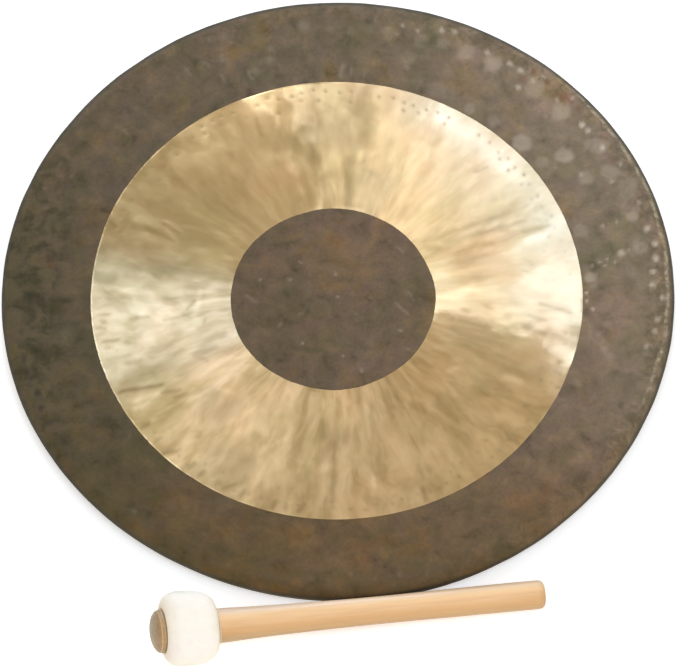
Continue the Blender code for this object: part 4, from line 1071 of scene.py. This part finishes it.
def build_handle():
    knots = [(0.0388, 0.0101), (0.0430, 0.0103), (0.0480, 0.0102), (0.0540, 0.0099), (0.0620, 0.0096), (0.0720, 0.00925), (0.0900, 0.00885),
             (0.1150, 0.00840), (0.1400, 0.00824), (0.1690, 0.00838), (0.2000, 0.00855), (0.2320, HANDLE_END)]
    body = spline(knots, 150)
    last, ro = MALLET_LENGTH - 0.0014, 0.0038
    end = [(last - ro + ro * math.sin(math.radians(a)), HANDLE_END - ro + ro * math.cos(math.radians(a))) for a in range(9, 91, 9)]
    face = [(last, r) for r in (0.0036, 0.0024, 0.0012)]
    front = [(0.0226, 0.0), (0.0226, 0.0033), (0.0106, 0.0033), (0.0106, 0.0074), (0.0112, 0.0080), (0.0388, 0.0080)]
    obj = lathe("handle_turned", front + body + end + face + [(last, 0.0)], 96, False)
    co = np.array([v.co for v in obj.data.vertices])
    r = np.hypot(co[:, 0], co[:, 1])
    a = np.arctan2(co[:, 1], co[:, 0])
    out = (-co[:, 2] > 0.0445)
    d = 0.00006 * noise3(1.3 * np.cos(a), 1.3 * np.sin(a), -co[:, 2] / 0.02, 31) + 0.00003 * noise3(6 * np.cos(a), 6 * np.sin(a), -co[:, 2] / 0.03, 32)
    f = np.where(out & (r > 1e-6), 1 + d / np.maximum(r, 1e-3), 1)
    co[:, 0] *= f
    co[:, 1] *= f
    obj.data.vertices.foreach_set("co", co.ravel())
    return obj


HANDLE_END = 0.00855

COVER = [(0.0084, 0.0130), (0.0081, 0.0141), (0.0087, 0.0163), (0.0103, 0.0190), (0.0130, 0.0210), (0.0170, 0.0219), (0.0225, 0.0221),
         (0.0280, 0.0220), (0.0322, 0.0213), (0.0356, 0.0199), (0.0383, 0.0176), (0.0400, 0.0145), (0.0406, 0.0119), (0.0407, 0.0109)]


def build_cover():
    outer = spline(COVER, 90)
    inner = []
    for i, (s, r) in enumerate(outer):
        s0, r0 = outer[max(i - 1, 0)]
        s1, r1 = outer[min(i + 1, len(outer) - 1)]
        n = math.hypot(s1 - s0, r1 - r0)
        inner.append((s + (r1 - r0) / n * 0.0026, r - (s1 - s0) / n * 0.0026))
    inner = [(s, r) for s, r in inner if 0.0112 < s < 0.0395 and r > 0.0140]
    front = [(0.0104, 0.0104), (0.0104, 0.0125), (0.0092, 0.0126)]
    profile = front + outer + [(0.0405, 0.0104)] + list(reversed(inner[::3]))
    obj = lathe("head_cover_fleece", profile, 200, True)
    co = np.array([v.co for v in obj.data.vertices])
    r = np.hypot(co[:, 0], co[:, 1])
    a = np.arctan2(co[:, 1], co[:, 0])
    s = -co[:, 2]
    skin = np.zeros(len(co), bool)
    skin[200 * len(front): 200 * (len(outer) + len(front))] = True
    ca, sa = np.cos(a), np.sin(a)
    d = 0.00026 * noise3(1.6 * ca, 1.6 * sa, s / 0.014, 41)
    d += 0.00009 * noise3(co[:, 0] / 0.0042, co[:, 1] / 0.0042, co[:, 2] / 0.0042, 42)
    d += 0.00007 * noise3(co[:, 0] / 0.0017, co[:, 1] / 0.0017, co[:, 2] / 0.0017, 43)
    # soft gathers where the cover is drawn in at each end
    ends = 0.6 * np.exp(-((s - 0.0086) / 0.0025) ** 2) + np.exp(-((s - 0.0404) / 0.0040) ** 2)
    d += 0.00018 * ends * np.cos(26 * a + 2.2 * noise3(2 * ca, 2 * sa, 1, 44))
    d -= 0.00025
    d = np.where(skin, d, 0)
    ax = 1 - np.clip((r - 0.0106) / 0.004, 0, 1)
    f = 1 + d * (1 - ax) / np.maximum(r, 1e-3)
    co[:, 0] *= f
    co[:, 1] *= f
    obj.data.attributes.new("along", "FLOAT", "POINT").data.foreach_set("value", s)
    co = askew(co)
    turn_in = MALLET.to_3x3().inverted()
    # fuller on the upper side of its front, and pressed flat where it rests on the floor
    up = np.array(turn_in @ UPPER)
    full = 0.0012 * smoothstep(0.003, 0.018, co @ up) * (1 - smoothstep(0.015, 0.034, s))
    co += np.where(skin, full, 0)[:, None] * up
    down = np.array(turn_in @ Vector((0, 0, 1)))
    low = 0.0002 - (co @ down + MALLET.translation.z)
    co += np.maximum(low, 0)[:, None] * down
    obj.data.vertices.foreach_set("co", co.ravel())
    return obj


def build_cap():
    """A low turned button with a fine line round its rim."""
    pts = []
    for i in range(34):
        a = math.radians(80.0 * i / 33)
        pts.append((0.0009 + 0.0053 * (1 - math.cos(a)), 0.0128 * math.sin(a)))
    pts += [(0.00575, 0.01282), (0.00620, 0.01296), (0.00680, 0.01300), (0.00740, 0.01294), (0.00782, 0.01275), (0.00800, 0.01240)]
    back = [(0.0080, 0.0033), (0.0032, 0.0033), (0.0032, 0.0)]
    obj = lathe("end_cap_turned", pts + back, 120, False)
    co = np.array([v.co for v in obj.data.vertices])
    r = np.hypot(co[:, 0], co[:, 1])
    # two shallow turned lines on the dome
    dome = (-co[:, 2] < 0.0056) & (r < 0.0127)
    co[:, 2] -= np.where(dome, 0.00026 * np.exp(-((r - 0.0112) / 0.00035) ** 2) + 0.00014 * np.exp(-((r - 0.0094) / 0.0003) ** 2), 0)
    obj.data.attributes.new("along", "FLOAT", "POINT").data.foreach_set("value", -co[:, 2])
    obj.data.vertices.foreach_set("co", askew(co).ravel())
    return obj


def build_washer():
    pts = [(0.0083, 0.0033), (0.0083, 0.0117), (0.0085, 0.0122), (0.0089, 0.01235), (0.0094, 0.01235), (0.0097, 0.0122), (0.0097, 0.0117), (0.0092, 0.0104), (0.0092, 0.0033)]
    obj = lathe("end_washer_leather", pts, 96, True)
    co = askew(np.array([v.co for v in obj.data.vertices]))
    obj.data.vertices.foreach_set("co", co.ravel())
    return obj


def build_tie():
    """Two turns of twisted thread round the neck of the cover."""
    verts, faces = [], []
    turns, per, sides = 2, 150, 8
    total = turns * per
    rings = []
    for k in range(total + 1):
        a = math.tau * k / per
        s = 0.04085 + 0.00042 * k / per
        centre = np.array([0.01066 * math.cos(a), 0.01066 * math.sin(a), -s])
        out = np.array([math.cos(a), math.sin(a), 0.0])
        up = np.array([0.0, 0.0, 1.0])
        ring = []
        for i in range(sides):
            b = math.tau * i / sides
            rr = 0.00021 * (1 + 0.16 * math.cos(2 * (b + k * 0.55)))
            p = centre + rr * (math.cos(b) * out + math.sin(b) * up)
            ring.append(len(verts))
            verts.append(tuple(p))
        rings.append(ring)
    for a, b in zip(rings, rings[1:]):
        for i in range(sides):
            j = (i + 1) % sides
            faces.append((a[i], a[j], b[j], b[i]))
    faces.append(tuple(reversed(rings[0])))
    faces.append(tuple(rings[-1]))
    mesh = bpy.data.meshes.new("cover_tie_thread")
    mesh.from_pydata(verts, [], faces)
    bm = bmesh.new(); bm.from_mesh(mesh)
    bmesh.ops.recalc_face_normals(bm, faces=bm.faces)
    bm.to_mesh(mesh); bm.free()
    mesh.shade_smooth()
    obj = bpy.data.objects.new("cover_tie_thread", mesh)
    bpy.context.scene.collection.objects.link(obj)
    return obj


# ------------------------------------------------------------------ build
oxide, gold = oxide_material(), gold_material()
gong = build_gong()
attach(gong, "gong")
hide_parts("gong_disc")

turn = (0.0, math.asin(-WAY.z) * -1.0, -MALLET_YAW)
# painted light and shade: the wood is painted paler on the side that lies up, deeper and redder below, and darker at
# both outlines
painted_handle_light = ("lift", -0.0100, 0.0100, [(-0.0086, (0.66, 0.63, 0.54)), (-0.0066, (0.79, 0.69, 0.53)), (-0.0044, (0.93, 0.79, 0.61)), (-0.0020, (1.04, 0.90, 0.73)),
                                     (0.0004, (1.12, 1.00, 0.85)), (0.0028, (1.18, 1.09, 0.98)), (0.0048, (1.18, 1.16, 1.09)), (0.0068, (1.07, 1.10, 1.13)), (0.0086, (0.84, 0.88, 0.97))])
# painted shade: the handle's rounded end is darkened over its last few millimetres
painted_end_shade = ("along", 0.225, 0.240, [(0.2325, (1, 1, 1)), (0.2352, (0.90, 0.89, 0.87)), (0.2371, (0.72, 0.70, 0.67))])
beech = wood_material("beech_handle", (0.80, 0.545, 0.300), (0.745, 0.495, 0.265), turn, 0.48, 0.35, (painted_handle_light, painted_end_shade))
# painted shade: the cap is darkened towards both outlines, more on its lower side
painted_cap_shade = ("lift", -0.0140, 0.0140, [(-0.0130, (0.74, 0.72, 0.66)), (-0.0070, (1.06, 0.98, 0.92)), (0.0040, (1.04, 1.0, 0.98)), (0.0130, (0.80, 0.84, 0.86))])
cap_rings = ("along", 0.0, 0.0090, [(0.0015, (0.82, 0.92, 0.94)), (0.0032, (0.98, 0.97, 0.94)), (0.0046, (1.05, 0.98, 0.92)), (0.0051, (1.75, 1.70, 1.72)), (0.0056, (1.70, 1.68, 1.70)),
                                    (0.0060, (1.12, 1.12, 1.10)), (0.0070, (1.40, 1.42, 1.46)), (0.0078, (1.45, 1.45, 1.45))])
cap_wood = wood_material("cap_wood", (0.345, 0.236, 0.112), (0.285, 0.188, 0.086), turn, 0.42, 0.6, (painted_cap_shade, cap_rings))
core_wood = wood_material("core_wood", (0.60, 0.44, 0.27), (0.48, 0.33, 0.19), turn, 0.6)
# painted shade: the cover is darkened towards its outlines above and below, and towards both gathered ends
painted_cover_shade = ("lift", -0.0230, 0.0230, [(-0.0222, (0.78, 0.79, 0.78)), (-0.0212, (0.87, 0.865, 0.855)), (-0.0195, (0.925, 0.91, 0.90)), (-0.0140, (0.96, 0.94, 0.945)), (-0.0060, (1, 0.99, 1)), (0.0040, (1.01, 1.0, 0.98)),
                                        (0.0100, (0.965, 0.945, 0.915)), (0.0160, (0.915, 0.895, 0.865)), (0.0200, (0.885, 0.875, 0.845)), (0.0214, (0.84, 0.84, 0.81)), (0.0224, (0.74, 0.75, 0.72))])
painted_cover_end_shade = ("along", 0.0080, 0.0410, [(0.0083, (0.84, 0.81, 0.77)), (0.0106, (0.93, 0.91, 0.89)), (0.0145, (0.985, 0.98, 0.975)), (0.0180, (1, 1, 1)),
                                        (0.0340, (1, 1, 1)), (0.0382, (0.98, 0.965, 0.93)), (0.0400, (0.88, 0.87, 0.82)), (0.0407, (0.72, 0.71, 0.64))])
# the last colour is a painted glow: a faint warm emission that brightens the fleece; it is no lamp
fleece = felt_material("white_fleece", (0.965, 0.925, 0.850), 0.0, (painted_cover_shade, painted_cover_end_shade), (0.105, 0.092, 0.040))
inner_felt = felt_material("wound_felt", (0.72, 0.70, 0.66), 0.2)
leather = felt_material("washer_leather", (0.80, 0.64, 0.45), 0.0)
thread = felt_material("tie_thread", (0.86, 0.70, 0.50), 0.0)

place(build_handle(), ["mallet_handle"], beech, 40)
cover = place(build_cover(), ["head_cover"], fleece)
place(build_cap(), ["end_cap"], cap_wood, 50)
place(build_washer(), ["end_washer"], leather, 40)
place(build_tie(), ["cover_tie"], thread)
for name, mat in (("mallet_core", core_wood), ("cap_dowel", core_wood), ("felt_winding", inner_felt)):
    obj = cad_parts[name]
    obj.data.materials.clear()
    obj.data.materials.append(mat)

# ------------------------------------------------------------------ stage
floor_mesh = bpy.data.meshes.new("floor")
floor_mesh.from_pydata([(-6, -6, 0), (6, -6, 0), (6, 6, 0), (-6, 6, 0)], [], [(0, 1, 2, 3)])
floor = bpy.data.objects.new("floor", floor_mesh)
bpy.context.scene.collection.objects.link(floor)
fmat, fnt, fsh = new_material("pale_floor")
fsh.inputs["Base Color"].default_value = (0.95, 0.93, 0.885, 1)
fsh.inputs["Roughness"].default_value = 0.9
fsh.inputs["Specular IOR Level"].default_value = 0.1
fsh.inputs["Emission Color"].default_value = (1.0, 1.0, 1.0, 1)
fsh.inputs["Emission Strength"].default_value = 0.42
floor_mesh.materials.append(fmat)

ELEVATION = math.radians(62.05)
SCALE = 0.400 / 671.16       # metres to a pixel of the 680 x 666 frame
SIGHT = Vector((0, -math.cos(ELEVATION), math.sin(ELEVATION)))
UP = Vector((0, math.sin(ELEVATION), math.cos(ELEVATION)))
centre = Vector((0, GONG_Y, FACE_Z - SHOULDER))
target = centre + Vector((1, 0, 0)) * (340 - 337.67) * SCALE - UP * (333 - 301.39) * SCALE
DISTANCE = 16.0
cam_data = bpy.data.cameras.new("camera")
cam = bpy.data.objects.new("camera", cam_data)
bpy.context.scene.collection.objects.link(cam)
cam.location = target + SIGHT * DISTANCE
cam.rotation_euler = (math.pi / 2 - ELEVATION, 0, 0)
cam_data.sensor_width = 36.0
cam_data.lens = 36.0 * DISTANCE / (680 * SCALE)
cam_data.clip_end = 100.0
bpy.context.scene.camera = cam


def softbox(name, direction, distance, width, height, energy, colour):
    """A rectangular light that far from the gong in a direction, facing it."""
    data = bpy.data.lights.new(name, "AREA")
    data.shape = "RECTANGLE"
    data.size, data.size_y = width, height
    data.energy = energy
    data.color = colour
    obj = bpy.data.objects.new(name, data)
    bpy.context.scene.collection.objects.link(obj)
    d = Vector(direction).normalized()
    obj.location = Vector((0, GONG_Y, 0.02)) + d * distance
    obj.rotation_mode = "QUATERNION"
    obj.rotation_quaternion = (-d).to_track_quat("-Z", "Y")
    return obj


world = bpy.data.worlds.new("world")
bpy.context.scene.world = world
world.use_nodes = True
wnt = world.node_tree
bg = wnt.nodes["Background"]
wtex = wnt.nodes.new("ShaderNodeTexCoord")
wsep = wnt.nodes.new("ShaderNodeSeparateXYZ")
wnt.links.new(wtex.outputs["Generated"], wsep.inputs[0])
dome = ramp(wnt, wsep.outputs["Z"], [(0.0, (0.62, 0.58, 0.53)), (1.0, (0.70, 0.655, 0.60))])
wnt.links.new(dome.outputs["Color"], bg.inputs["Color"])
bg.inputs["Strength"].default_value = 1.0

softbox("softbox_back", (-0.010, 0.966, 0.258), 2.6, 0.60, 1.35, 26.0, (0.78, 1.0, 1.46))
softbox("softbox_left", (-0.270, 0.653, 0.707), 2.6, 1.30, 0.85, 9.0, (0.92, 1.0, 1.20))
softbox("softbox_front", (0.080, -0.430, 0.899), 2.6, 1.0, 0.80, 17.0, (0.80, 1.0, 1.32))

scene = bpy.context.scene
scene.view_settings.view_transform = "Standard"
scene.view_settings.look = "None"
scene.view_settings.exposure = 0.0
scene.view_settings.gamma = 1.0
